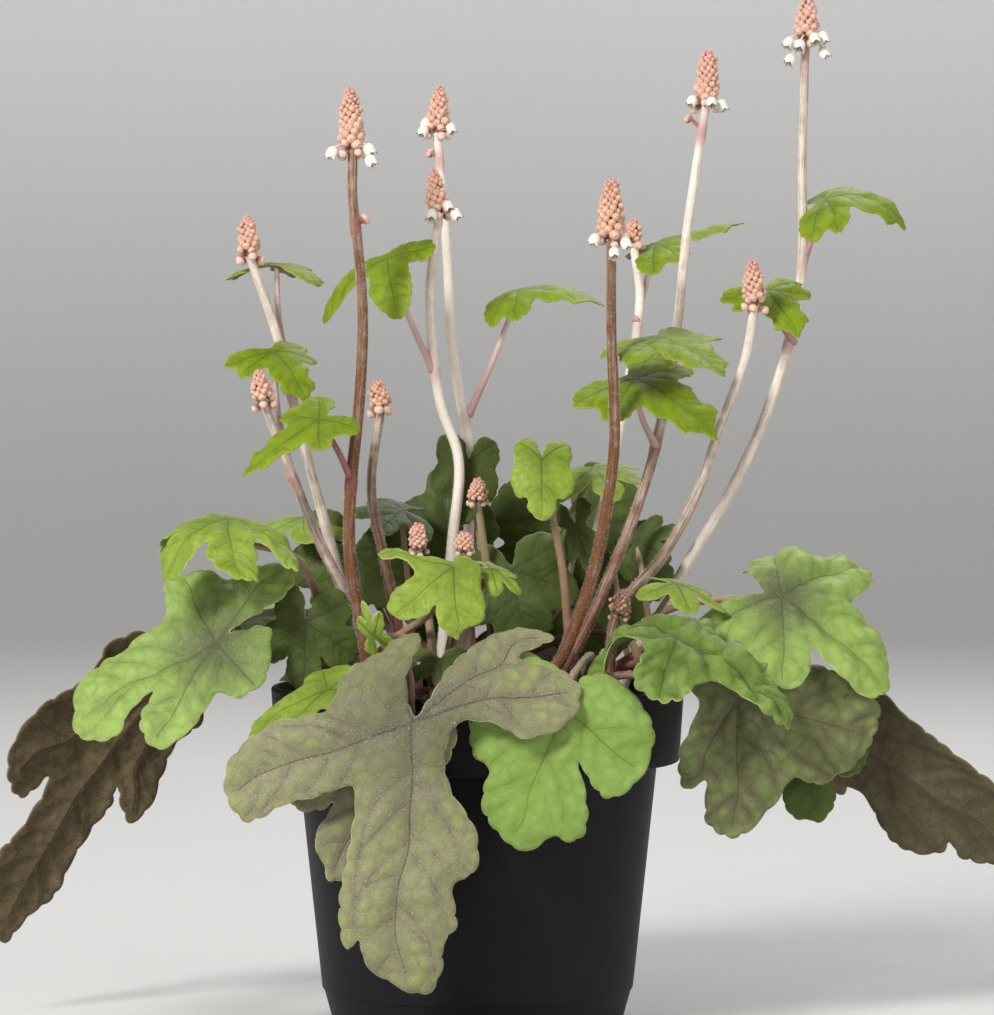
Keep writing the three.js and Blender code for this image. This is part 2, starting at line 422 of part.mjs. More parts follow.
// Divides a flat outline into well shaped triangles, with inner points on a staggered grid.
function flatMesh(outline, spacing) {
  const flat = outline.map((p) => new THREE.Vector2(p[0], p[1]));
  if (THREE.ShapeUtils.area(flat) < 0) flat.reverse();
  const edgeCount = flat.length;
  const turn = (a, b, c) => (b.x - a.x) * (c.y - a.y) - (b.y - a.y) * (c.x - a.x);
  const faces = THREE.ShapeUtils.triangulateShape(flat, []).map(([a, b, c]) =>
    turn(flat[a], flat[b], flat[c]) < 0 ? [a, c, b] : [a, b, c],
  );
  const clear = (p) => {
    let near = Infinity;
    for (let i = 0; i < edgeCount; i += 1) {
      const a = flat[i];
      const d = flat[(i + 1) % edgeCount].clone().sub(a);
      const t = THREE.MathUtils.clamp(p.clone().sub(a).dot(d) / d.lengthSq(), 0, 1);
      near = Math.min(near, p.distanceTo(a.clone().addScaledVector(d, t)));
    }
    return near > 0.42 * spacing;
  };
  const box = new THREE.Box2().setFromPoints(flat);
  const rise = spacing * 0.866;
  for (let row = Math.floor(box.min.y / rise); row * rise < box.max.y; row += 1) {
    for (let col = Math.floor(box.min.x / spacing); col * spacing < box.max.x; col += 1) {
      const p = new THREE.Vector2((col + (row % 2 === 0 ? 0 : 0.5)) * spacing, row * rise);
      const at = faces.findIndex(([a, b, c]) =>
        [[a, b], [b, c], [c, a]].every(([from, to]) => turn(flat[from], flat[to], p) > 1e-6));
      if (at < 0 || !clear(p)) continue;
      const [a, b, c] = faces[at];
      const n = flat.push(p) - 1;
      faces.splice(at, 1, [a, b, n], [b, c, n], [c, a, n]);
    }
  }
  // Turns an inner edge wherever the fourth corner lies inside the circle through the other three.
  const inCircle = (a, b, c, d) => {
    const rows = [a, b, c].map((q) => [q.x - d.x, q.y - d.y, (q.x - d.x) ** 2 + (q.y - d.y) ** 2]);
    return (
      rows[0][0] * (rows[1][1] * rows[2][2] - rows[1][2] * rows[2][1]) -
      rows[0][1] * (rows[1][0] * rows[2][2] - rows[1][2] * rows[2][0]) +
      rows[0][2] * (rows[1][0] * rows[2][1] - rows[1][1] * rows[2][0])
    );
  };
  for (let pass = 0, turned = true; turned && pass < 60; pass += 1) {
    turned = false;
    const owner = new Map();
    faces.forEach((f, t) => f.forEach((v, k) => owner.set(v + "," + f[(k + 1) % 3], [t, f[(k + 2) % 3]])));
    const done = new Set();
    for (const [key, [t, c]] of owner) {
      const [a, b] = key.split(",").map(Number);
      const other = owner.get(b + "," + a);
      if (!other || done.has(t) || done.has(other[0])) continue;
      const [u, d] = other;
      if (inCircle(flat[a], flat[b], flat[c], flat[d]) < 1e-3) continue;
      if (turn(flat[a], flat[d], flat[c]) < 1e-6 || turn(flat[d], flat[b], flat[c]) < 1e-6) continue;
      faces[t] = [a, d, c];
      faces[u] = [d, b, c];
      done.add(t).add(u);
      turned = true;
    }
  }
  return { flat, faces, edgeCount };
}

// Curls a flat strip of length s with height h down by the given angle at its full reach.
function curl(s, h, degrees, reach) {
  const k = rad(degrees) / reach;
  const a = k * Math.abs(s);
  const run = Math.abs(k) < 1e-6 ? Math.abs(s) : Math.sin(a) / k;
  const drop = Math.abs(k) < 1e-6 ? 0 : (1 - Math.cos(a)) / k;
  return [Math.sign(s) * (run + h * Math.sin(a)), h * Math.cos(a) - drop];
}

// Directions of a blade: x across, y towards the middle lobe, z out of the upper face.
function axes(leaf) {
  const y = vec(leaf.along).normalize();
  const z = vec(leaf.face).addScaledVector(y, -vec(leaf.face).dot(y)).normalize();
  return { x: y.clone().cross(z), y, z };
}

// A leaf blade: the flat outline bent, placed and given its thickness, triangulated alike on both faces.
function blade(leaf, spacing) {
  const size = leaf.size;
  const [wideRight, wideLeft] = leaf.sides ?? [1, 1];
  const outline = leaf.outline.map(([x, y]) => [x * size * (x > 0 ? wideRight : wideLeft), y * size]);
  const { flat, faces, edgeCount } = flatMesh(outline, spacing);
  const reach = { up: 0, down: 0, right: 0, left: 0 };
  for (const p of flat) {
    reach.up = Math.max(reach.up, p.y);
    reach.down = Math.max(reach.down, -p.y);
    reach.right = Math.max(reach.right, p.x);
    reach.left = Math.max(reach.left, -p.x);
  }
  const [front, back, right, left] = leaf.bend;
  const ripple = (leaf.ripple ?? 1.2) * size;
  const { x, y, z } = axes(leaf);
  const origin = vec(leaf.at);
  const middle = flat.map((p) => {
    const share = p.length() / reach.up;
    const wave = ripple * share * share * Math.sin(5 * Math.atan2(p.x, p.y) + leaf.at[0]);
    const [px, ph] = p.x > 0 ? curl(p.x, wave, right, reach.right) : curl(p.x, wave, left, reach.left);
    const [py, pz] = p.y > 0 ? curl(p.y, ph, front, reach.up) : curl(p.y, ph, back, reach.down);
    return origin.clone().addScaledVector(x, px).addScaledVector(y, py).addScaledVector(z, pz);
  });
  const normals = middle.map(() => new THREE.Vector3());
  for (const [a, b, c] of faces) {
    const n = middle[b].clone().sub(middle[a]).cross(middle[c].clone().sub(middle[a]));
    for (const v of [a, b, c]) normals[v].add(n);
  }
  normals.forEach((n) => n.normalize());
  const points = [
    ...middle.map((p, i) => p.clone().addScaledVector(normals[i], BLADE / 2)),
    ...middle.map((p, i) => p.clone().addScaledVector(normals[i], -BLADE / 2)),
  ];
  const count = middle.length;
  const all = [...faces, ...faces.map(([a, b, c]) => [a + count, c + count, b + count])];
  for (let i = 0; i < edgeCount; i += 1) {
    const j = (i + 1) % edgeCount;
    all.push([i + count, j + count, j], [i + count, j, i]);
  }
  return body(points, all);
}

// Where a stalk of radius r ends just under its blade, when it comes up from the direction given.
function stalkEnd(leaf, comesAlong, r) {
  const { z } = axes(leaf);
  const slope = Math.sqrt(Math.max(0, 1 - comesAlong.dot(z) ** 2));
  return vec(leaf.at).addScaledVector(z, -(BLADE / 2 + FIT + r * slope + 0.3 * r));
}

// The stalk of a mature leaf, from its mound over the rim to the underside of the blade.
function petiole(leaf) {
  const [mx, my] = MOUNDS[leaf.from];
  const { y, z } = axes(leaf);
  const lean = leaf.lean ?? 0.4;
  const comes = z.clone().multiplyScalar(1 - lean).addScaledVector(y, lean).normalize();
  const end = stalkEnd(leaf, comes, PETIOLE_R);
  const near = end.clone().addScaledVector(comes, -7);
  const out = new THREE.Vector2(near.x - mx, near.y - my).normalize();
  const start = [mx + out.x * 2.5, my + out.y * 2.5, MOUND_TOP - 4];
  const via = leaf.via ?? [[
    mx + (near.x - mx) * 0.45,
    my + (near.y - my) * 0.45,
    MOUND_TOP + 0.35 * Math.max(0, near.z - MOUND_TOP) + 10,
  ]];
  const path = [start, ...via, near.toArray(), end.toArray()];
  return tube(path, (t) => 1.5 - (1.5 - PETIOLE_R) * t, 5, 3 + Math.min(2, via.length));
}

// A group of young leaves: every blade fused to its own stalk, and the stalks to one foot in the soil.
function tuft(group, grow) {
  const [x, y] = group.foot;
  const parts = [tube([[x, y, 90 - grow], [x, y, 106]], () => 2.4 + grow, 6, 1)];
  if (grow > 0) return parts;
  for (const leaf of group.leaves) {
    parts.push(tube([[x, y, 102], leaf.via, leaf.at], (t) => 1.3 - 0.5 * t, 5, 4));
    parts.push(blade({ outline: YOUNG, ...leaf }, 12));
  }
  for (const young of group.heads ?? []) {
    parts.push(tube([[x, y, 102], young.via, young.at], (t) => 1.5 - 0.4 * t, 5, 4));
    const foot = vec(young.at).addScaledVector(vec(young.tip).sub(vec(young.at)), -0.1);
    parts.push(budCone(foot, vec(young.tip), 3, 5, 4));
  }
  return [joined(parts)];
}

// Where each stem stands: its foot goes down into the soil under the first point of its path.
const FOOT_DEPTH = 14;
const STEM_STEPS = 9;
const stemPath = (stem) => {
  const [x, y, z] = stem.path[0];
  return [[x, y, z - FOOT_DEPTH], ...stem.path, stem.top];
};
const stemRadius = (stem, grow = 0) => (t) => (stem.thick ?? 1) * (STEM_R - 0.55 * t) + grow;

// A flower stem with the stalks of its own leaves.
function flowerStem(stem) {
  const parts = [tube(stemPath(stem), stemRadius(stem), 6, STEM_STEPS)];
  for (const leaf of stem.leaves) {
    const comes = vec(leaf.at).sub(vec(leaf.via)).normalize();
    const end = stalkEnd(leaf, comes, 0.8);
    parts.push(tube([leaf.node, leaf.via, end.toArray()], (t) => 1.1 - 0.3 * t, 5, 4));
  }
  for (const bud of stem.buds ?? []) {
    parts.push(tube([bud.from, bud.at], () => 0.6, 4, 1));
    parts.push(new THREE.IcosahedronGeometry(1.5, 0).translate(...bud.at));
  }
  return parts.length > 1 ? joined(parts) : parts[0];
}

// A cone of buds: rows of alternating tops and hollows around an axis, staggered from row to row.
function budCone(from, to, r, rows, around) {
  const axis = to.clone().sub(from);
  const length = axis.length();
  axis.normalize();
  const side = new THREE.Vector3(1, 0, 0).addScaledVector(axis, -axis.x).normalize();
  const other = axis.clone().cross(side);
  const points = [];
  const faces = [];
  const many = around * 2;
  for (let k = 0; k < rows; k += 1) {
    const t = k / (rows - 1);
    const body = r * (0.72 + 0.28 * Math.sin(Math.PI * Math.min(1, t * 1.6))) * Math.sqrt(1 - 0.9 * t * t);
    for (let i = 0; i < many; i += 1) {
      const a = (i / many) * 2 * Math.PI;
      const out = body * ((i + k) % 2 === 0 ? 1.12 : 0.82);
      const p = from.clone().addScaledVector(axis, 0.6 + t * (length - 1.4));
      points.push(p.addScaledVector(side, out * Math.cos(a)).addScaledVector(other, out * Math.sin(a)));
    }
  }
  for (let k = 0; k + 1 < rows; k += 1) {
    for (let i = 0; i < many; i += 1) {
      const j = (i + 1) % many;
      const [a, b, c, d] = [k * many + i, k * many + j, (k + 1) * many + j, (k + 1) * many + i];
      if ((i + k) % 2 === 0) faces.push([a, b, d], [b, c, d]);
      else faces.push([a, b, c], [a, c, d]);
    }
  }
  const low = points.push(from.clone()) - 1;
  const high = points.push(to.clone()) - 1;
  for (let i = 0; i < many; i += 1) {
    const j = (i + 1) % many;
    faces.push([low, j, i], [high, (rows - 1) * many + i, (rows - 1) * many + j]);
  }
  return body(points, faces);
}

// A small white bell hanging on a short stalk from the lower part of a head.
function bell(from, at, down, size) {
  const y = down.clone().normalize();
  const x = new THREE.Vector3(0, 0, 1).cross(y).normalize();
  const z = x.clone().cross(y);
  const rings = [[1.3, 0.4], [2.4, 1.9], [2.3, 4.2]];
  const points = [at.clone()];
  const sides = 5;
  for (const [r, run] of rings) {
    for (let i = 0; i < sides; i += 1) {
      const a = (i / sides) * 2 * Math.PI;
      const p = at.clone().addScaledVector(y, run * size);
      points.push(p.addScaledVector(x, r * size * Math.cos(a)).addScaledVector(z, r * size * Math.sin(a)));
    }
  }
  points.push(at.clone().addScaledVector(y, 2.4 * size));
  const faces = [];
  for (let i = 0; i < sides; i += 1) {
    const j = (i + 1) % sides;
    faces.push([0, 1 + i, 1 + j]);
    for (let k = 0; k + 1 < rings.length; k += 1) {
      const a = 1 + k * sides + i;
      const b = 1 + k * sides + j;
      faces.push([a, a + sides, b + sides], [a, b + sides, b]);
    }
    faces.push([1 + (rings.length - 1) * sides + i, points.length - 1, 1 + (rings.length - 1) * sides + j]);
  }
  const inside = at.clone().addScaledVector(y, 0.8 * size);
  return [body(points, faces), tube([from.toArray(), inside.toArray()], () => 0.5, 4, 1)];
}

// A flower head: the cone of buds, with bells round its foot where it has opened.
function head(stem) {
  const top = vec(stem.top);
  const tip = vec(stem.tip);
  const axis = tip.clone().sub(top).normalize();
  const foot = top.clone().addScaledVector(axis, 0.3 * stemRadius(stem)(1) + FIT);
  const length = tip.distanceTo(foot);
  const r = 2.4 + length * 0.085;
  const parts = [budCone(foot, tip, r, Math.round(length / 2), 5)];
  for (const place of stem.bells ?? []) {
    const at = vec(place);
    const out = at.clone().sub(foot).setZ(0).normalize();
    const from = foot.clone().addScaledVector(axis, 1.5).addScaledVector(out, 2);
    parts.push(...bell(from, at, out.clone().multiplyScalar(0.45).addScaledVector(axis, -0.9), 0.72));
  }
  return parts.length > 1 ? joined(parts) : parts[0];
}

// The rootstock: three low mounds in the soil on one creeping root.
function rootstock(grow) {
  const spots = Object.values(MOUNDS);
  const parts = spots.map(([x, y]) => {
    const r = MOUND_R + grow;
    return turned(
      [
        [0, 88 - grow], [r * 0.7, 88 - grow], [r, 96], [r, 103],
        [r * 0.75, MOUND_TOP - 2 + grow], [0, MOUND_TOP + grow],
      ],
      8,
    ).translate(x, y, 0);
  });
  for (let i = 0; i < spots.length; i += 1) {
    const [a, b] = [spots[i], spots[(i + 1) % spots.length]];
    if (i === 0) continue;
    parts.push(tube([[a[0], a[1], 94], [b[0], b[1], 94]], () => 3 + grow, 6, 1));
  }
  return parts;
}

// The nursery pot, one wall with a rim that stands proud and drain holes round the middle of its floor.
function pot() {
  const wall = turned(
    [
      [0, 0], [BASE_R, 0], [BASE_R + 0.4, 1.6], [STEP_R, STEP_Z],
      [BODY_TOP_R, RIM_FOOT_Z], [RIM_FOOT_R, RIM_FOOT_Z],
      [POT_RIM_R, POT_HEIGHT - 0.8], [POT_RIM_R - 0.6, POT_HEIGHT], [POT_RIM_R - WALL, POT_HEIGHT],
      [RIM_FOOT_R - WALL, RIM_FOOT_Z + WALL], [BODY_TOP_R - WALL, RIM_FOOT_Z + WALL],
      [STEP_R - WALL, STEP_Z], [BASE_R - WALL, FLOOR], [0, FLOOR],
    ],
    32,
  );
  const holes = [45, 135, 225, 315].map((degrees) => {
    const hole = new THREE.CylinderGeometry(DRAIN_R, DRAIN_R, 3 * FLOOR, 8);
    hole.rotateX(Math.PI / 2);
    hole.translate(DRAIN_RING_R * Math.cos(rad(degrees)), DRAIN_RING_R * Math.sin(rad(degrees)), FLOOR / 2);
    return solid(hole);
  });
  return plain(solid(wall).subtract(Manifold.union(holes)));
}

// The soil that fills the pot, with a plain hole for every stem and for the rootstock.
function soil() {
  const g = WALL + FIT;
  const lift = (share) => SOIL_EDGE_Z + SOIL_RISE * (1 - share * share);
  const rings = [0.96, 0.8, 0.58, 0.32];
  const edge = POT_RIM_R - g - 0.9;
  const fill = turned(
    [
      [0, FLOOR + FIT], [BASE_R - g, FLOOR + FIT], [STEP_R - g, STEP_Z],
      [BODY_TOP_R - g, RIM_FOOT_Z + g - 0.5],
      [BODY_TOP_R - g, RIM_FOOT_Z + g], [RIM_FOOT_R - g, RIM_FOOT_Z + g], [edge, SOIL_EDGE_Z - 1],
      ...rings.map((share) => [edge * share, lift(share)]),
      [0, lift(0)],
    ],
    20,
    (k, i) => (k >= 7 ? 0.9 * Math.sin(2.3 * k + 2.9 * i) : 0),
  );
  const cuts = rootstock(FIT).map(solid);
  for (const group of TUFTS) cuts.push(...tuft(group, FIT).map(solid));
  for (const stem of STEMS) {
    const path = stemPath(stem);
    path[0][2] -= FIT;
    cuts.push(solid(tube(path, stemRadius(stem, FIT + 0.15), 6, STEM_STEPS)));
  }
  return plain(solid(fill).subtract(Manifold.union(cuts)));
}

// Everything, each piece under its own name
const part = new THREE.Group();
const add = (name, geometry, color) => {
  const mesh = new THREE.Mesh(geometry, new THREE.MeshStandardMaterial({ color: COLOR[color] }));
  mesh.name = name;
  part.add(mesh);
};

add("pot", pot(), "pot");
add("soil", soil(), "soil");
add("crown", joined([...rootstock(0), ...LEAVES.map(petiole)]), "crown");
const GRID = { wide: 12, small: 9.5, back: 16 };
for (const leaf of LEAVES) {
  const wide = leaf.from === "back" ? GRID.back : GRID.wide;
  add(leaf.name, blade(leaf, leaf.size >= 0.6 && leaf.outline !== YOUNG ? wide : GRID.small), leaf.color);
}
for (const group of TUFTS) add(group.name, tuft(group, 0)[0], "green");
for (const stem of STEMS) {
  add(stem.name, flowerStem(stem), stem.color);
  add(stem.name.replace("stem", "head"), head(stem), "bud");
  stem.leaves.forEach((leaf, i) => {
    const named = stem.name.replace("stem", "stem_leaf") + (stem.leaves.length > 1 ? "_" + (i + 1) : "");
    add(named, blade({ outline: THREE_LOBED, ...leaf }, 8), "bright");
  });
}

export default part;
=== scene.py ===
# %% [markdown]
# # Potted heartleaf foamflower
# A low garden perennial in a round nursery pot. Long-stalked lobed leaves hang over the rim, and leafy
# stems stand up between them, each with a small cone of buds. The packed solids hold the place and the
# form of every piece. This lesson makes each piece again as a finer surface in the same place, and adds
# what a solid can't show: toothed margins, sunken veins, hairs, single buds, crumbs of compost, colour.
#
# The packed model comes in first. Nothing here may outgrow it.

import bpy
import numpy as np
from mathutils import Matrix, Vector
from mathutils.geometry import delaunay_2d_cdt


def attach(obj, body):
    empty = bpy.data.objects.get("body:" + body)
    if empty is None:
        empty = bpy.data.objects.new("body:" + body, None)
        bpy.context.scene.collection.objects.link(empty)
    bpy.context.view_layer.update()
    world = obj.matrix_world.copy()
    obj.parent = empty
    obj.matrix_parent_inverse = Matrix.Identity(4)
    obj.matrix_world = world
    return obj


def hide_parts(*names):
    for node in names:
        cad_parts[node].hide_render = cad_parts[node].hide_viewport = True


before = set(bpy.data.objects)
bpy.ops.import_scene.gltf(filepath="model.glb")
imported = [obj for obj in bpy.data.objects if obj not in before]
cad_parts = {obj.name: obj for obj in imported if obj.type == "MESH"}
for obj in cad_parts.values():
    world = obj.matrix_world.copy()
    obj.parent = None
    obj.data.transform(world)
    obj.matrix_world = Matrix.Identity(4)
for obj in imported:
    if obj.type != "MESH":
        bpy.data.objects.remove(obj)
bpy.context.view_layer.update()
MM = 0.001
rng = np.random.default_rng(11)

# %% [markdown]
# ## Leaf outlines
# A leaf starts as a flat drawing, as a botanist would press it. Each list goes once round the blade in
# millimetres. The stalk joins at 0, 0, and y points to the tip of the middle lobe. Drawing flat and
# bending later keeps a leaf's lobes at their true size, which sculpting in space doesn't.

# %% Flat outlines of the blades
OUTLINES = {
    "oak": [(-1, -1.6), (1, -13), (-4, -32), (3, -31), (8, -25), (19, -18), (25, -6), (41, -3), (54, 6),
        (57, 14), (56, 20), (51, 26), (46, 25), (40, 22), (29, 20), (19, 18), (20, 32), (23, 43),
        (25, 52), (25, 62), (23, 66), (20, 63), (19, 69), (15, 74), (10, 77), (5, 80), (0, 80),
        (-4, 73), (-5, 66), (-9, 61), (-9, 49), (-15, 46), (-17, 40), (-16, 32), (-10, 21), (-9, 10),
        (-14, 1), (-24, 2), (-33, 7), (-47, 2), (-51, -8), (-47, -15), (-33, -20), (-44, -29),
        (-40, -33), (-26, -30), (-13, -18), (-6, -8)],
    "left_green": [(0, -5), (-5, -16), (-12, -13), (-20, -7), (-22, -1), (-21, 4), (-15, 8), (-18, 15),
        (-21, 24), (-19, 33), (-13, 34), (-7, 31), (-2, 24), (-3, 32), (-8, 40), (-5, 47), (1, 51),
        (9, 48), (18, 42), (19, 34), (18, 22), (19, 10), (24, 6), (30, 4), (31, -3), (28, -10),
        (20, -14), (20, -22), (14, -32), (7, -31), (2, -20)],
    "far_left": [(0, -4), (-8, -12), (-18, -12), (-25, -3), (-24, 8), (-32, 22), (-35, 32), (-34, 41),
        (-29, 49), (-21, 52), (-16, 42), (-15, 51), (-15, 61), (-17, 69), (-13, 81), (-6, 91), (2, 94),
        (4, 84), (8, 74), (7, 62), (7, 50), (8, 40), (6, 34), (11, 39), (16, 42), (19, 36), (17, 25),
        (15, 12), (18, 4), (14, -6), (7, -10)],
    "front_green": [(0, -4), (4, -13), (14, -17), (23, -12), (28, -3), (27, 8), (24, 18), (18, 22),
        (19, 28), (17, 35), (11, 40), (6, 43), (0, 42), (-5, 37), (-9, 38), (-13, 36), (-13.5, 30),
        (-11.5, 23), (-7.5, 14), (-13, 20), (-18, 23), (-24, 19), (-28, 11), (-28, 1), (-22, -8),
        (-12, -14), (-4, -12)],
    "right_olive": [(0, -3), (-4, -11), (-14, -13), (-27, -11), (-38, -5), (-45, 2), (-44, 12),
        (-37, 20), (-32, 23), (-25, 26), (-17, 24), (-11, 33), (-5, 39), (-1, 42), (4, 42), (10, 37),
        (10, 30), (10, 25), (16, 28), (18, 24), (18, 16), (15, 9), (12, 2), (16, -7), (10, -13),
        (4, -12)],
    "far_right": [(0, -4), (8, -13), (18, -12), (22, -2), (22, 14), (23, 30), (24, 46), (20, 57),
        (14, 63), (6, 66), (1, 62), (-3, 56), (-2, 50), (-6, 51), (-12, 46), (-15, 38), (-13, 29),
        (-10, 20), (-14, 12), (-16, 0), (-12, -9), (-6, -12)],
    "broad": [(0, -5), (2, -26), (8, -35), (13, -30), (14, -18), (19, -15), (24, -6), (26, 5), (21, 8),
        (16, 10), (15, 18), (15, 32), (14, 42), (8, 47), (1, 50), (-4, 46), (-4, 38), (-1, 26),
        (-8, 33), (-15, 34), (-18, 25), (-15, 14), (-12, 8), (-17, 3), (-19, -8), (-13, -17),
        (-6, -20)],
    "fan": [(0, -3), (4, -15), (11, -23), (21, -23), (30, -14), (30, -5), (27, -1), (36, 2), (41, 11),
        (37, 21), (27, 27), (17, 24), (13, 20), (14, 29), (11, 37), (6, 39), (1, 43), (-5, 41),
        (-11, 36), (-14, 28), (-13, 20), (-19, 25), (-28, 27), (-36, 21), (-40, 11), (-36, 2),
        (-27, -1), (-31, -6), (-30, -14), (-22, -23), (-12, -24), (-4, -15)],
    "long": [(0, -4), (6, -15), (17, -21), (27, -15), (29, -4), (22, 6), (27, 14), (31, 28), (28, 40),
        (21, 45), (14, 38), (10, 33), (14, 45), (16, 58), (17, 70), (12, 79), (10, 86), (3, 93),
        (-4, 92), (-9, 84), (-14, 78), (-15, 66), (-13, 54), (-10, 42), (-14, 46), (-24, 52),
        (-31, 46), (-34, 32), (-28, 17), (-22, 8), (-29, -3), (-26, -15), (-16, -21), (-6, -15)],
    "curled": [(0, -14), (6, -33), (14, -33), (22, -28), (24, -22), (16, -20), (9, -17), (7, -11),
        (10, -6), (18, -5), (22, -4), (24, 3), (24, 9), (20, 14), (14, 15), (8, 20), (7, 28), (6, 37),
        (0, 44), (-6, 38), (-8, 30), (-13, 24), (-13, 12), (-18, 2), (-15, -8), (-20, -20), (-14, -32),
        (-6, -34)],
    "lobed": [(0, -2), (7, -5), (12, -6), (16, -10), (21, -13), (23, -10), (21, -6), (16, -5), (12, 1),
        (15, 4), (19, 7), (21, 12), (18, 16), (13, 17), (9, 16), (6, 13), (6, 18), (3, 22), (0, 24),
        (-2, 21), (-5, 20), (-8, 18), (-9, 12), (-8, 5), (-9, 0), (-6, -3), (-2, -4)],
    "right_green": [(3, -5), (-2, -14), (-6, -23), (-13, -26), (-20, -23), (-24, -14), (-25, -5),
        (-36, -3), (-40, 6), (-35, 13), (-26, 15), (-17, 16), (-15, 24), (-14, 31), (-9, 39), (-2, 44),
        (4, 43), (7, 36), (8, 28), (8, 19), (12, 22), (17, 25), (23, 22), (26, 15), (24, 8), (22, 1),
        (32, -4), (38, -12), (36, -20), (27, -22), (17, -18), (8, -12)],
    "young": [(0, -2), (5, -9), (13, -13), (20, -12), (24, -7), (21, -3), (13, 0), (20, 4), (23, 10),
        (20, 14), (11, 13), (6, 10), (7, 16), (5, 20), (0, 23), (-5, 20), (-7, 16), (-6, 10),
        (-11, 14), (-19, 14), (-23, 9), (-19, 4), (-13, 0), (-22, -4), (-24, -8), (-19, -12),
        (-12, -13), (-5, -9)],
    "round": [(0, -2), (4, -10), (11, -14), (19, -12), (22, -5), (20, 1), (23, 6), (22, 13), (16, 17),
        (11, 17), (10, 22), (5, 26), (0, 27), (-5, 26), (-10, 22), (-11, 17), (-16, 17), (-22, 13),
        (-23, 6), (-20, 1), (-22, -5), (-19, -12), (-11, -14), (-4, -10)],
    "three_lobed": [(0, -3), (7, -8), (15, -9), (20, -5), (17, 0), (19, 4), (15, 8), (8, 8), (9, 13),
        (7, 17), (8, 21), (3, 24), (0, 28), (-4, 24), (-8, 21), (-7, 16), (-9, 12), (-8, 8), (-15, 8),
        (-20, 4), (-17, 0), (-20, -5), (-15, -9), (-7, -8)],
    "slender": [(0, -3), (6, -5), (16, -6), (31, -4), (37, 0), (31, 5), (16, 5), (8, 5), (9, 12),
        (7, 20), (2, 26), (-3, 24), (-6, 18), (-7, 10), (-7, 6), (-13, 7), (-17, 3), (-16, -3),
        (-8, -5)],
}
print("outlines:", ", ".join(OUTLINES))

# %% [markdown]
# ## Where the mature leaves grow
# A row says where a stalk meets its blade (`at`), which way the middle lobe runs (`along`), which way
# the upper side looks (`face`), and by how many degrees the front, back, right and left parts hang down
# (`bend`). These are the same values as the packed solids', so each finer piece lands on its own solid.

# %% Rows of mature leaves
def row(at, along, face, bend, **rest):
    """One leaf of any kind, as a dictionary."""
    return dict(at=at, along=along, face=face, bend=bend, **rest)


def mature(name, outline, size, finish, mound, *place, **rest):
    """A mature leaf: it also has a drawing, a size, a colour and the crown that it grows from."""
    return dict(row(*place, **rest), name="leaf_" + name, outline=outline, size=size, finish=finish,
                mound=mound)


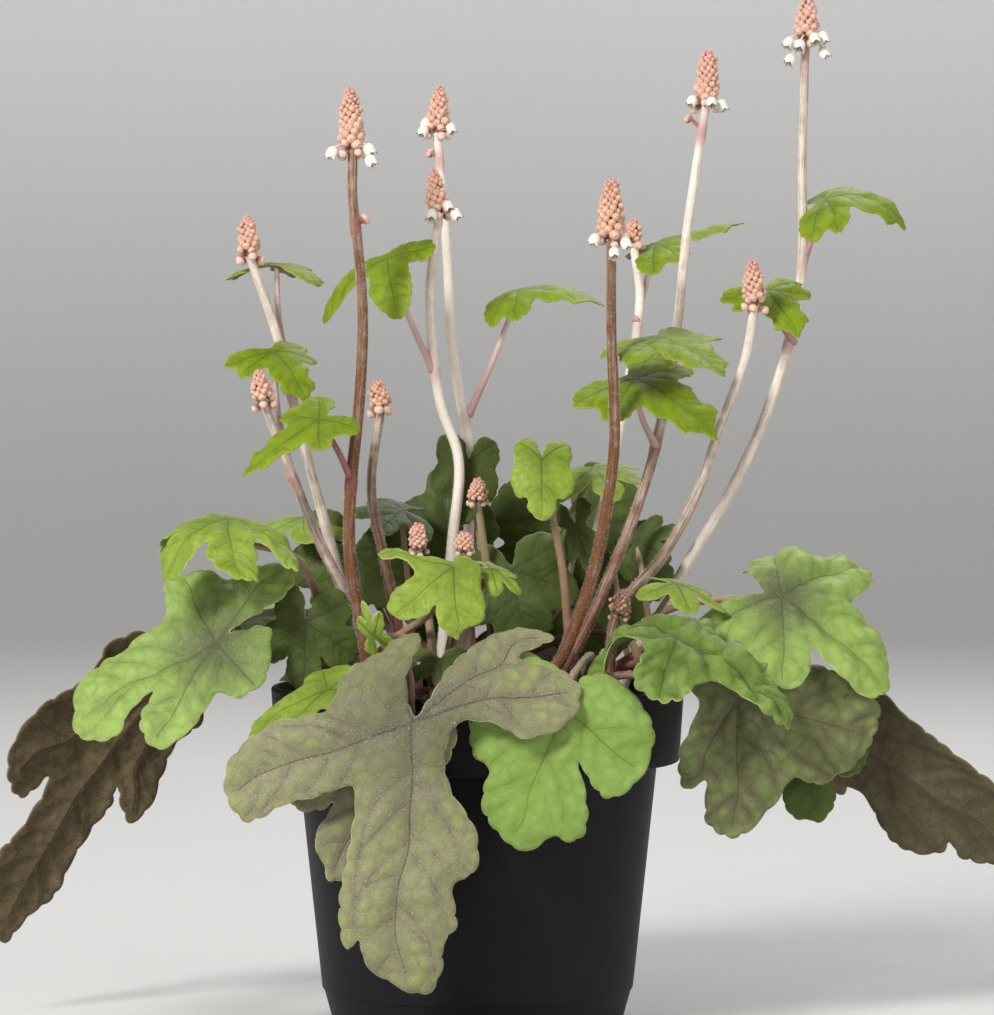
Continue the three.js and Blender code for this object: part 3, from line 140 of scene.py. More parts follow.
LEAVES = [
    mature("front_purple", "oak", 1, "purple", "left", (-19, -75, 99), (0.07, -0.3, -0.95),
           (0, -0.95, 0.3), (22, 42, 8, 10), via=[(-26, -34, 117), (-20, -62, 112)]),
    mature("front_olive", "fan", 0.95, "purple", "left", (-26, -69, 88), (-0.42, -0.1, -0.88),
           (-0.15, -1, 0.1), (5, 10, 10, 10), sides=(0.75, 0.55), lean=0.85, via=[(-25, -34, 113),
           (-25, -60, 110)]),
    mature("front_lime", "broad", 0.58, "lime", "left", (-45, -52, 107), (-0.88, -0.12, -0.42),
           (-0.35, -0.45, 0.8), (20, 10, 10, 20), lean=0.75, via=[(-37, -29, 112.5)]),
    mature("left_green", "left_green", 1, "green", "left", (-80, -32, 120), (-0.84, -0.12, -0.53),
           (-0.25, -0.8, 0.55), (8, 14, 8, 8), via=[(-56, -10, 115)]),
    mature("far_left", "far_left", 1, "brown", "left", (-100, 3, 104), (-0.56, 0, -0.83),
           (-0.4, 0.9, 0.25), (8, 10, 14, 14)),
    mature("left_lime", "young", 1.3, "lime", "left", (-77, -28, 158), (-0.8, -0.55, -0.15),
           (-0.3, -0.4, 0.87), (65, 40, 60, 45), via=[(-48, -9, 128), (-56, -24, 146)]),
    mature("front_green", "front_green", 1, "bright", "right", (26, -67, 102), (-0.2, -0.12, -0.97),
           (0.05, -0.97, 0.15), (8, 50, 8, 8), lean=0.7, via=[(35, -30, 116), (29, -56, 112)]),
    mature("front_curled", "curled", 1, "bright", "right", (60, -52, 121), (0.85, -0.35, -0.38),
           (0, -0.35, 0.93), (25, 80, 48, 20), via=[(46, -27, 110), (54, -42, 111)]),
    mature("right_green", "right_green", 1, "green", "right", (94, -24, 134), (0.735, -0.414, -0.536),
           (0.05, -0.75, 0.65), (28, 62, 26, 38), via=[(57, -9, 128), (80, -16, 133)]),
    mature("right_olive", "right_olive", 1, "dark", "right", (80, -34, 103), (0, -0.15, -1),
           (0.12, -0.95, 0.2), (6, 25, 8, 12), lean=0.7, via=[(56, -10, 114), (71, -24, 110)]),
    mature("right_under", "fan", 0.6, "dark", "right", (97, -22, 88), (0.35, -0.05, -0.9), (0.1, -1, 0.1),
           (8, 10, 10, 10), lean=0.8, via=[(56, -6, 116), (86, -16, 108)]),
    mature("far_right", "far_right", 1, "brown", "right", (112, -8, 91), (0.76, 0.05, -0.65),
           (0.3, 0.9, 0.35), (8, 10, 12, 12)),
    mature("middle_lobed", "lobed", 1, "lime", "left", (-7, -45, 144), (0.05, -0.6, -0.8),
           (0, -0.75, 0.65), (20, 25, 15, 25), via=[(-29, -24, 118), (-13, -38, 131)]),
    mature("middle_top", "round", 0.75, "lime", "right", (20, -16, 176), (0, -0.5, -0.86),
           (0.05, -0.8, 0.5), (15, 40, 25, 25), sides=(0.55, 0.6)),
    mature("left_shade", "fan", 0.5, "dark", "left", (-53, -25, 126), (-0.1, -0.15, -0.95),
           (-0.1, -0.95, 0.25), (15, 20, 20, 20), sides=(0.7, 0.9), via=[(-52, -9, 119)]),
    mature("back_1", "long", 0.68, "purple", "back", (84, 33, 112), (0.7, 0.5, -0.4), (0.3, 0.4, 0.85),
           (50, 20, 30, 30)),
    mature("back_2", "fan", 1, "green", "back", (30, 34, 151), (0.15, 0.05, -1), (0.1, -0.95, 0.15),
           (15, 40, 20, 20), sides=(0.8, 0.8), lean=0.2, via=[(13, 47, 130), (27, 47, 145)]),
    mature("back_3", "broad", 1.3, "dark", "back", (16, 78, 106), (0.1, 0.8, -0.6), (0.1, 0.6, 0.8),
           (45, 20, 30, 30)),
    mature("back_4", "broad", 0.72, "green", "back", (-9, 25, 151), (-0.15, 0.05, -1),
           (-0.1, -0.95, 0.15), (10, 40, 15, 15), sides=(1.1, 1.1), lean=0.2, via=[(-3, 37, 130),
           (-7, 36, 144)]),
    mature("back_5", "long", 0.72, "purple", "back", (-47, 66, 106), (-0.2, 0.8, -0.6), (-0.2, 0.6, 0.8),
           (45, 20, 30, 30)),
    mature("back_6", "fan", 0.85, "green", "back", (-80, 34, 124), (-0.8, 0.5, -0.35), (-0.35, 0.2, 0.9),
           (45, 20, 30, 30)),
]
MOUNDS = {"left": (-34, -6), "right": (32, -2), "back": (0, 28)}
MOUND_TOP = 110
print("mature leaves:", len(LEAVES), "crowns:", len(MOUNDS))

# %% [markdown]
# ## Young groups and flower stems
# A group of young leaves grows from one foot in the compost, and each leaf's stalk passes the point
# `via`. A flower stem passes the points of its path. Its head reaches from `top` to `tip`, and each of
# its leaves leaves it at a `node`. Bells and single buds are given by their places.

# %% Rows of young groups and stems
YOUNG_GROUPS = [
    dict(name="young_leaves_left", foot=(-20, 16), leaves=[
        row((-24, 5, 160), (-0.95, -0.15, 0.1), (0, -0.4, 1), (25, 20, 30, 20), size=0.75,
            via=(-22, 12, 134)),
        row((-56, 20, 157), (-0.8, -0.5, -0.2), (-0.2, -0.3, 1), (30, 20, 30, 30), size=0.75,
            via=(-36, 20, 136)),
        row((-40, 11, 147), (-0.25, -0.2, -0.9), (-0.1, -0.95, 0.2), (20, 20, 25, 25), size=0.9,
            outline="round", via=(-28, 22, 126))]),
    dict(name="young_leaves_front", foot=(-12, -38), leaves=[
        row((-31, -48, 123), (-0.35, -0.2, 0.9), (-0.3, -0.9, 0), (20, 20, 30, 30), size=0.5,
            sides=(0.4, 0.4), via=(-19, -40, 121)),
        row((-11, -50, 116), (0.1, -0.6, -0.7), (0, -0.7, 0.7), (10, 20, 20, 20), size=0.45,
            via=(-12, -45, 114)),
        row((4, -37, 143), (0.85, -0.3, -0.35), (0.25, -0.6, 0.8), (40, 20, 50, 40), size=0.55,
            sides=(0.6, 0.5), via=(-4, -37, 126))], heads=[dict(at=(-18, -31, 149), tip=(-18, -33, 158),
            via=(-15, -28, 128)), dict(at=(-4, -33, 148), tip=(-4, -34, 155), via=(-7, -35, 126))]),
    dict(name="young_leaves_middle", foot=(6, 10), leaves=[
        row((-3, 6.5, 175), (-0.1, -0.35, -0.93), (0.1, -0.93, 0.37), (15, 20, 15, 15), size=0.75,
            outline="round", sides=(0.65, 0.6), via=(2, 6, 140)),
        row((37, 6, 173), (0.35, -0.8, -0.3), (0.05, -0.4, 0.92), (35, 30, 35, 25), size=0.75,
            via=(18, 12, 138)),
        row((11, 2, 141), (0.2, -0.3, -0.9), (0.05, -0.9, 0.35), (20, 20, 25, 25), size=0.9,
            outline="round", via=(9, 10, 126)),
        row((31, -3, 155), (0.25, -0.3, -0.9), (-0.3, -0.8, 0.3), (20, 20, 30, 30), size=0.75,
            sides=(0.35, 0.35), via=(27, 12, 132))], heads=[dict(at=(0, -3, 163), tip=(0, -5, 171),
            via=(4, 3, 132))]),
    dict(name="young_leaves_right", foot=(55, -17), leaves=[
        row((50, 3, 150), (0.85, -0.3, 0.45), (-0.35, -0.7, 0.6), (25, 20, 45, 30), size=0.7,
            sides=(0.7, 0.6), via=(53, -15, 128)),
        row((61, -27, 138), (0.9, -0.3, -0.25), (0, -0.35, 0.93), (25, 20, 30, 30), size=0.8,
            sides=(0.6, 0.3), via=(54, -21, 124)),
        row((43, 13.5, 144), (0.1, -0.03, -0.98), (0.05, -0.98, 0.03), (8, 10, 12, 12), size=0.85,
            outline="round", via=(48, 1, 112))], heads=[dict(at=(44, -22, 128), tip=(45, -24, 137),
            via=(50, -19, 115))]),
]

STEMS = [
    dict(name="stem_a", path=[(-35, 6, 104), (-42, 2, 132), (-47, 3, 151), (-57, 5, 189), (-64, 6, 217)],
         top=(-72, 7, 240), tip=(-73, 8, 254),
         leaves=[row((-64, 15, 238), (0.2, 0.9, 0.1), (0, -0.35, 1), (25, 20, 40, 40), size=0.85,
             node=(-58, 5, 197), via=(-63, 11, 220))]),
    dict(name="stem_b", path=[(-42, -18, 104), (-41, -18, 133), (-49, -20, 151), (-59, -22, 176)],
         top=(-66, -23, 194), tip=(-68, -24, 205),
         leaves=[row((-64, -5, 209), (0.55, -0.65, -0.5), (0.1, -0.45, 0.9), (30, 10, 35, 30), size=0.8,
             node=(-57, -22, 170), via=(-62, -12, 190))]),
    dict(name="stem_c", path=[(-33, -28, 104), (-34, -30, 116), (-39, -31, 146), (-39, -32, 164),
         (-36, -32, 196), (-35, -33, 219), (-36, -33, 237), (-38, -34, 256)], top=(-38, -34, 271),
         tip=(-39, -34, 291), thick=1.1, bells=[(-43.4, -35, 272), (-33.8, -35.4, 272.8),
         (-33.3, -36.4, 269.4)], buds=[dict(at=(-34.3, -33, 250), start=(-37, -33.5, 248))],
         leaves=[row((-48, -40, 188.5), (-0.82, -0.25, -0.5), (-0.35, -0.6, 0.72), (15, 30, 10, 15),
             size=1.05, sides=(0.75, 0.6), node=(-38, -32, 169), via=(-43, -36, 180))]),
    dict(name="stem_d", path=[(-22, -14, 104), (-24, -14, 120), (-29, -14, 145), (-33, -14, 167)],
         top=(-30, -14, 192), tip=(-31, -14, 202),
         leaves=()),
    dict(name="stem_e", path=[(-4, 12, 104), (-3, 12, 150), (-2, 12, 177), (-5, 13, 192), (-8, 15, 211),
         (-10, 18, 243)], top=(-13, 21, 280), tip=(-12, 22, 296), bells=[(-15.4, 21, 285),
         (-16.6, 19, 282.2), (-9.4, 20, 283.2)], buds=[dict(at=(-14.8, 19.6, 274),
         start=(-12.7, 20.3, 272))],
         leaves=[row((13, 19, 230), (0.92, -0.35, 0.1), (-0.1, -0.15, 0.98), (35, 20, 50, 20), size=1.05,
             node=(-3, 13, 190), via=(5, 16, 208))]),
    dict(name="stem_f", path=[(-12, 2, 104), (-8, 0, 150), (-6, 0, 176), (-12, 0, 195), (-15, 0, 229)],
         top=(-12, 0, 253), tip=(-14, 0, 268), bells=[(-10.2, -1.5, 257.2), (-8, -1.5, 254.8),
         (-14.2, -3.8, 254.6)],
         leaves=[row((-28, -8, 239), (0.1, -0.75, -0.65), (-0.45, -0.3, 0.85), (30, 10, 40, 20), size=0.9,
             outline="slender", node=(-14, 0, 204), via=(-22, -5, 222))]),
    dict(name="stem_g", path=[(20, -33, 104), (27, -34, 118), (35, -35, 140), (40, -35, 164),
         (42, -36, 182), (41, -37, 216)], top=(41, -37, 243), tip=(41, -38, 263), thick=1.1,
         bells=[(36.6, -39, 245.2), (41.6, -41.6, 241), (44.6, -39.5, 244)],
         leaves=()),
    dict(name="stem_h", path=[(26, 17, 104), (33, 19, 135), (39, 22, 156), (46, 25, 189), (52, 28, 227)],
         top=(50, 29, 245), tip=(50, 30, 254),
         leaves=[row((57, 33, 246), (0.92, 0.05, 0.33), (-0.3, -0.2, 0.93), (15, 10, 30, 30), size=1.05,
             node=(51, 27, 220), via=(54, 31, 232))]),
    dict(name="stem_i", path=[(24, -19, 104), (35, -15, 126), (51, -7, 164), (57, -3, 185), (63, 1, 220),
         (66, 4, 248)], top=(72, 6, 288), tip=(73, 7, 306), bells=[(68.4, 4.5, 290.6), (76.2, 5, 289.4),
         (73.4, 2, 290)], buds=[dict(at=(66.8, 5, 284), start=(71, 6, 280))],
         leaves=[row((57, -23, 214), (0.6, -0.7, -0.25), (0, -0.3, 0.9), (20, 10, 20, 20), size=1.05,
             node=(61.5, 0, 210), via=(60, -12, 213)),
                 row((49, -19, 201), (0.78, -0.5, -0.4), (0, -0.5, 0.85), (20, 10, 15, 15), size=1.2,
             sides=(0.95, 0.95), node=(56, -4, 180), via=(51, -13, 190))]),
    dict(name="stem_j", path=[(41, -12, 104), (44, -12, 129), (57, -13, 145), (69, -14, 167),
         (75, -15, 185), (83, -16, 207)], top=(86, -17, 224), tip=(85, -18, 239),
         leaves=()),
    dict(name="stem_k", path=[(46, 8, 104), (64, 6, 139), (80, 7, 166), (93, 8, 195), (102, 10, 230),
         (103, 12, 274)], top=(104, 13, 309), tip=(105, 14, 326), bells=[(99.6, 12, 309.8),
         (102.2, 9, 308.6), (99.9, 11, 304.4), (106.2, 9.4, 310.8), (108.6, 12.4, 311.6),
         (109, 12, 306.8), (104.6, 17.8, 309)],
         leaves=[row((110, 6, 258), (0.92, -0.25, 0.3), (-0.3, -0.3, 0.9), (80, 10, 35, 20), size=1.05,
             node=(103, 11, 238), via=(107, 10, 249)),
                 row((91, -4, 229), (0.45, -0.7, -0.55), (0, -0.4, 0.9), (25, 10, 20, 20), size=0.75,
             node=(100, 9, 213), via=(95, 2, 220))]),
]
BROWN_STEMS = ("stem_c", "stem_d", "stem_g", "stem_j")
print("groups of young leaves:", len(YOUNG_GROUPS), "stems:", len(STEMS))

# %% [markdown]
# ## Smooth lines through a few points
# Stalks, veins and leaf margins all start as a handful of points. A Catmull-Rom line passes through each
# of them without corners. Its centripetal form is used, because it makes no loops where points are close.

# %% Curves
def unit(v):
    """Every vector divided by its own length."""
    v = np.asarray(v, float)
    return v / np.maximum(np.linalg.norm(v, axis=-1, keepdims=True), 1e-9)


def angles(count):
    """Angles at even steps once round."""
    return np.arange(count) / count * 2 * np.pi


def smooth_line(points, closed=False, fine=16):
    """A cubic between each two points. Its slope at a point weighs the steps on both sides by the
    square roots of their lengths."""
    p = np.asarray(points, float)
    if closed:
        ring = np.vstack([p[-1:], p, p[:2]])
    else:
        ring = np.vstack([2 * p[0] - p[1], p, 2 * p[-1] - p[-2]])
    root = np.sqrt(np.maximum(np.linalg.norm(np.diff(ring, axis=0), axis=1), 1e-6))[:, None]
    a, b, c, d = ring[:-3], ring[1:-2], ring[2:-1], ring[3:]
    ta, tb, tc = root[:-2], root[1:-1], root[2:]
    leave = ((b - a) / ta - (c - a) / (ta + tb) + (c - b) / tb) * tb
    reach = ((c - b) / tb - (d - b) / (tb + tc) + (d - c) / tc) * tb
    t = np.linspace(0, 1, fine, endpoint=False)[None, :, None]
    b, c, leave, reach = b[:, None], c[:, None], leave[:, None], reach[:, None]
    line = b + leave * t + (3 * (c - b) - 2 * leave - reach) * t**2
    line = (line + (2 * (b - c) + leave + reach) * t**3).reshape(-1, p.shape[1])
    return line if closed else np.vstack([line, p[-1]])


def even(line, step, closed=False):
    """The same line as points about one step apart, found along its running length."""
    if closed:
        line = np.vstack([line, line[:1]])
    run = np.r_[0, np.cumsum(np.linalg.norm(np.diff(line, axis=0), axis=1))]
    s = np.linspace(0, run[-1], max(2, int(round(run[-1] / step))) + 1)
    made = np.stack([np.interp(s, run, axis) for axis in line.T], axis=1)
    return made[:-1] if closed else made


print("a line through 3 points at 1 mm steps:", even(smooth_line([(0, 0), (9, 4), (14, 12)]), 1).shape)

# %% [markdown]
# ## Smooth random heights
# Nothing on a plant is quite flat or straight. Random values on a square lattice, blended between its
# corners, give gentle waves that bend veins and crease leaves.

# %% Uneven heights over a plane
LATTICE_SIDE = 64
LATTICE = rng.uniform(-1, 1, (LATTICE_SIDE, LATTICE_SIDE))
LATTICE_START = 500


def uneven(flat, size, seed=0.0):
    """Smooth random heights between -1 and 1 over a plane. Each corner of a square lattice has its own
    value, and the eased share 3t^2 - 2t^3 blends the four that stand round a point."""
    p = np.asarray(flat, float) / size + LATTICE_START + 7.3 * seed
    cell = np.floor(p).astype(int)
    t = (p - cell) ** 2 * (3 - 2 * (p - cell))
    (i, j), (k, m) = cell.T % LATTICE_SIDE, (cell.T + 1) % LATTICE_SIDE
    low = LATTICE[i, j] * (1 - t[:, 0]) + LATTICE[k, j] * t[:, 0]
    high = LATTICE[i, m] * (1 - t[:, 0]) + LATTICE[k, m] * t[:, 0]
    return low * (1 - t[:, 1]) + high * t[:, 1]


print("uneven heights at two points:", uneven([(0, 0), (9, 4)], 8).round(2))

# %% [markdown]
# ## One pile of surfaces for each piece
# A leaf has two sheets, a rim and hundreds of hairs, and all of them are one object. So every helper
# returns a small dictionary of points, faces and values on the points, and a pile joins them into one
# mesh. The values travel with the mesh as attributes, and the materials read them: how far a point is
# from a vein says more about its colour than any picture laid over the leaf.

# %% Joining surfaces into one object
VALUES = ("vein", "side_vein", "net", "rim", "upper", "reach", "tone", "blush", "chance")


def surface(points, faces, finish=0, flat=None, **values):
    """A dictionary for the pile: points in mm, faces as an array of corners, values on the points."""
    return dict(points=np.asarray(points, float), faces=np.asarray(faces), finish=finish, flat=flat,
                values=values)


def add_object(name, data):
    """A new object at the origin, in the scene."""
    made = bpy.data.objects.new(name, data)
    bpy.context.scene.collection.objects.link(made)
    return made


def grow_piece(name, pile, finishes, node):
    """One object in metres from a pile: the corners are counted on from surface to surface."""
    points = np.vstack([s["points"] for s in pile])
    starts = np.cumsum([0] + [len(s["points"]) for s in pile])
    corners = np.concatenate([(s["faces"] + k).ravel() for s, k in zip(pile, starts)])
    sizes = np.concatenate([np.full(len(s["faces"]), s["faces"].shape[1]) for s in pile])
    which = np.concatenate([np.full(len(s["faces"]), s["finish"]) for s in pile])
    mesh = bpy.data.meshes.new(name)
    mesh.vertices.add(len(points))
    mesh.vertices.foreach_set("co", (points * MM).ravel())
    mesh.loops.add(len(corners))
    mesh.loops.foreach_set("vertex_index", corners.astype(np.int32))
    mesh.polygons.add(len(sizes))
    mesh.polygons.foreach_set("loop_start", np.r_[0, np.cumsum(sizes)[:-1]].astype(np.int32))
    mesh.polygons.foreach_set("material_index", which.astype(np.int32))
    mesh.polygons.foreach_set("use_smooth", np.ones(len(sizes), bool))
    for key in VALUES:
        if any(key in s["values"] for s in pile):
            held = [np.broadcast_to(s["values"].get(key, 0.0), len(s["points"])) for s in pile]
            mesh.attributes.new(key, "FLOAT", "POINT").data.foreach_set("value", np.concatenate(held))
    if any(s["flat"] is not None for s in pile):
        held = [s["points"] if s["flat"] is None else s["flat"] for s in pile]
        spot = mesh.attributes.new("flat", "FLOAT_VECTOR", "POINT")
        spot.data.foreach_set("vector", np.vstack(held).ravel())
    mesh.update(calc_edges=True)
    for finish in finishes:
        mesh.materials.append(finish)
    piece = add_object(name, mesh)
    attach(piece, "root")
    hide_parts(node)


print("values that a point can carry:", ", ".join(VALUES))

# %% [markdown]
# ## Stalks
# A stalk is a round profile carried along a line. The ring at each step needs two directions square to
# the line. They come from one fixed direction for the whole stalk, so the ring never turns about the
# line, and lines of colour or hairs run straight along it. The ends are closed with a shrinking dome.

# %% A round profile along a line
ACROSS = np.array([1, 0.3, 0])
DOME = np.array([0.0, 0.55, 0.87])


def stalk(path, radius, sides=10, step=1.2, **values):
    """Rings of the given radius, a function of the share of the length. A point of a ring is its centre
    plus radius times cos and sin of its angle along the two directions square to the line."""
    line = even(smooth_line(path), step)
    run = unit(np.gradient(line, axis=0))
    share = np.linspace(0, 1, len(line))
    size = np.array([radius(t) for t in share])
    line = np.vstack([line[:1] - run[:1] * size[0] * (1 - DOME[:, None]) * 0.5, line,
                      line[-1:] + run[-1:] * size[-1] * (1 - DOME[::-1, None]) * 0.5])
    run = np.vstack([run[:1]] * 3 + [run] + [run[-1:]] * 3)
    size = np.r_[size[0] * np.maximum(DOME, 0.02), size, size[-1] * np.maximum(DOME[::-1], 0.02)]
    share = np.r_[[0] * 3, share, [1] * 3]
    u = unit(np.cross(run, ACROSS))
    v = np.cross(run, u)
    a = angles(sides)
    out = np.cos(a)[None, :, None] * u[:, None] + np.sin(a)[None, :, None] * v[:, None]
    points = line[:, None] + out * size[:, None, None]
    along = np.r_[0, np.cumsum(np.linalg.norm(np.diff(line, axis=0), axis=1))]
    own = np.stack(np.broadcast_arrays(np.cos(a) * size[:, None], np.sin(a) * size[:, None],
                                       along[:, None]), axis=-1)
    made = surface(points.reshape(-1, 3), grid_faces(len(line), sides), flat=own.reshape(-1, 3), **{
        key: np.repeat(value(share) if callable(value) else np.full(len(share), value), sides)
        for key, value in values.items()})
    made.update(line=line, out=out, size=size)
    return made


def grid_faces(rows, around):
    """Four corners for each cell of a grid that closes on itself round each row."""
    k, i = np.meshgrid(np.arange(rows - 1), np.arange(around), indexing="ij")
    j = (i + 1) % around
    return np.stack([k * around + i, k * around + j, (k + 1) * around + j, (k + 1) * around + i],
                    axis=-1).reshape(-1, 4)


test = stalk([(0, 0, 0), (0, 4, 30)], lambda t: 2)
print("a 30 mm stalk:", len(test["points"]), "points,", len(test["faces"]), "faces")

# %% [markdown]
# ## Hairs
# Stems, stalks and leaves of this plant are covered with short pale hairs, which light up along every
# edge. Each hair is a thin three-sided spike. Four faces are enough at this size, and thousands of them
# stay light. A hair on a surface leans a little to a random side, or they would look like a brush.

# %% Spikes on a surface
HAIR_FINISH = 1
SPIKE = np.array([[0, 2, 1], [0, 1, 3], [1, 2, 3], [2, 0, 3]])


def hairs(roots, outward, length, width=0.055, lean=0.45):
    """A tip and three feet for each root: the tip lies one length out along the leaned direction, and
    the feet stand a width away from the root, a third of a turn apart."""
    count = len(roots)
    way = unit(unit(outward) + lean * rng.normal(size=(count, 3)))
    u = unit(np.cross(way, rng.normal(size=(count, 3))))
    v = np.cross(way, u)
    long = length * rng.uniform(0.55, 1.15, (count, 1))
    feet = [roots - 0.1 * way + width * (np.cos(a) * u + np.sin(a) * v) for a in angles(3)]
    points = np.stack(feet + [roots + long * way], axis=1).reshape(-1, 3)
    faces = (SPIKE + 4 * np.arange(count)[:, None, None]).reshape(-1, 3)
    return surface(points, faces, HAIR_FINISH, tone=np.tile([0, 0, 0, 1.0], count))


def hairs_on_stalk(made, per_mm, length, low=0.0):
    """Hairs at random places along and round a stalk, above a share of its length."""
    ends = made["line"]
    count = int(per_mm * np.linalg.norm(np.diff(ends, axis=0), axis=1).sum() * (1 - low))
    at = rng.uniform(low * (len(ends) - 1), len(ends) - 1, count)
    k = np.minimum(at.astype(int), len(ends) - 2)
    part = (at - k)[:, None]
    centre = ends[k] * (1 - part) + ends[k + 1] * part
    size = (made["size"][k] * (1 - part[:, 0]) + made["size"][k + 1] * part[:, 0])[:, None]
    angle = rng.uniform(0, 2 * np.pi, count)[:, None]
    sides = made["out"].shape[1]
    out = np.cos(angle) * made["out"][k, 0] + np.sin(angle) * made["out"][k, sides // 4]
    return hairs(centre + unit(out) * size * 0.96, out, length)


print("hairs on the 30 mm stalk:", len(hairs_on_stalk(test, 5, 0.8)["points"]) // 4)

# %% [markdown]
# ## Measuring a flat leaf
# Three measures turn an outline into a leaf: which points lie inside it, how far a point is from a line,
# and where the lobes end. All three work on whole arrays of points at once.

# %% Distances and lobes
AT_ONCE = 1500


def distance_to(points, starts, ends):
    """The distance from each point to the nearest straight piece: its foot on the piece is held
    between the two ends."""
    run = ends - starts
    long = np.maximum((run**2).sum(1), 1e-12)
    best = np.full(len(points), 1e3)
    for low in range(0, len(points), AT_ONCE):
        p = points[low:low + AT_ONCE, None]
        t = np.clip(((p - starts) * run).sum(2) / long, 0, 1)
        gap = p - starts - t[..., None] * run
        best[low:low + AT_ONCE] = np.sqrt((gap**2).sum(2).min(1))
    return best


def straight(lines):
    """All straight pieces of some lines, as their starts and their ends."""
    return np.vstack([line[:-1] for line in lines]), np.vstack([line[1:] for line in lines])


def inside(points, ring):
    """True where a line to the right of the point crosses the ring an odd number of times."""
    a, b = ring, np.roll(ring, -1, axis=0)
    rise = np.where(np.abs(b[:, 1] - a[:, 1]) < 1e-9, 1e-9, b[:, 1] - a[:, 1])
    p = points[:, None]
    cross = (a[:, 1] > p[..., 1]) != (b[:, 1] > p[..., 1])
    x = a[:, 0] + (p[..., 1] - a[:, 1]) * (b[:, 0] - a[:, 0]) / rise
    return (cross & (p[..., 0] < x)).sum(1) % 2 == 1


def lobe_tips(ring, least):
    """The middle of each lobe's end. An end is farther from the stalk than its neighbours, with a dip
    of at least the given depth on both sides."""
    far = np.linalg.norm(ring, axis=1)
    near = np.stack([np.roll(far, k) for k in range(-5, 6)])
    tips = []
    for i in np.flatnonzero(far >= near.max(0)):
        on = [np.roll(far, -i)[1:], np.roll(far[::-1], i + 1)[1:]]
        dips = [w[:np.argmax(w > far[i])].min() if (w > far[i]).any() else w.min() for w in on]
        if far[i] - max(dips) < least:
            continue
        wide = [int(np.argmax(w < 0.88 * far[i])) for w in on]
        spots = ring[np.arange(i - wide[1], i + wide[0] + 1) % len(ring)].mean(0)
        if all(np.linalg.norm(spots - t) > 6 for t in tips):
            tips.append(spots)
    return np.array(tips)


tips = lobe_tips(even(smooth_line(OUTLINES["oak"], closed=True), 1, closed=True), 5)
print("lobes of the large front leaf:", len(tips), tips.round().tolist())

# %% [markdown]
# ## The margin
# A foamflower's margin is cut into small rounded teeth with sharp notches between them. The absolute
# value of a sine has that form.

# %% The margin of a flat leaf
def edge_gap(points, ring):
    """The distance to the margin."""
    return distance_to(points, ring, np.roll(ring, -1, axis=0))


def toothed(ring, depth, pitch):
    """The ring moved out and in along its own normal by depth times (|sin| to the power 0.6, less its
    mean). The teeth are shallow where the margin is hollow, and their length varies a little."""
    count = len(ring)
    back, ahead = np.roll(ring, 1, axis=0), np.roll(ring, -1, axis=0)
    run = unit(ahead - back)
    out = np.stack([run[:, 1], -run[:, 0]], axis=1)
    s = np.arange(count) / count
    teeth = round(count * np.linalg.norm(ahead[0] - ring[0]) / pitch)
    phase = np.pi * (teeth * s + 0.7 * np.sin(6 * np.pi * s) / np.pi + 0.3 * np.sin(14 * np.pi * s + 1))
    swell = ((ring - 0.5 * (np.roll(ring, 4, 0) + np.roll(ring, -4, 0))) * out).sum(1)
    share = np.clip(0.75 + 0.5 * swell, 0.1, 1)
    return ring + out * (depth * share * (np.abs(np.sin(phase)) ** 0.6 - 0.72))[:, None]


ring = toothed(even(smooth_line(OUTLINES["oak"], closed=True), 0.9, closed=True), 1.2, 9)
print("points on the toothed margin of the large front leaf:", len(ring))

# %% [markdown]
# ## The veins
# The veins follow the lobes: one main vein runs from the stalk to each lobe's end, and side veins leave
# it at about 50 degrees, bend forward and stop short of the margin and of each other.

# %% Main and side veins
def wandering(line, most, seed):
    """The line moved by smooth random steps that are zero at its root."""
    shift = np.stack([uneven(line, 11, seed), uneven(line, 11, seed + 1)], axis=1)
    return line + most * (shift - shift[:1])


def middle_line(tip, ring):
    """A line from the stalk to a lobe's tip. At three places on the way it keeps to the middle of the
    lobe, halfway between the two margins that a crosswise row of points meets."""
    across = unit([-tip[1], tip[0]])
    spots = [np.zeros(2)]
    for share in (0.45, 0.65, 0.83):
        wide = 0.42 * share * np.linalg.norm(tip)
        s = np.arange(-wide, wide, 0.3)
        within = inside(share * tip + s[:, None] * across, ring)
        part = np.cumsum(~within)
        home = part[np.argmin(np.abs(s) + 99 * ~within)]
        spots.append(share * tip + 0.8 * s[within & (part == home)].mean() * across)
    return smooth_line([*spots, 0.97 * tip])


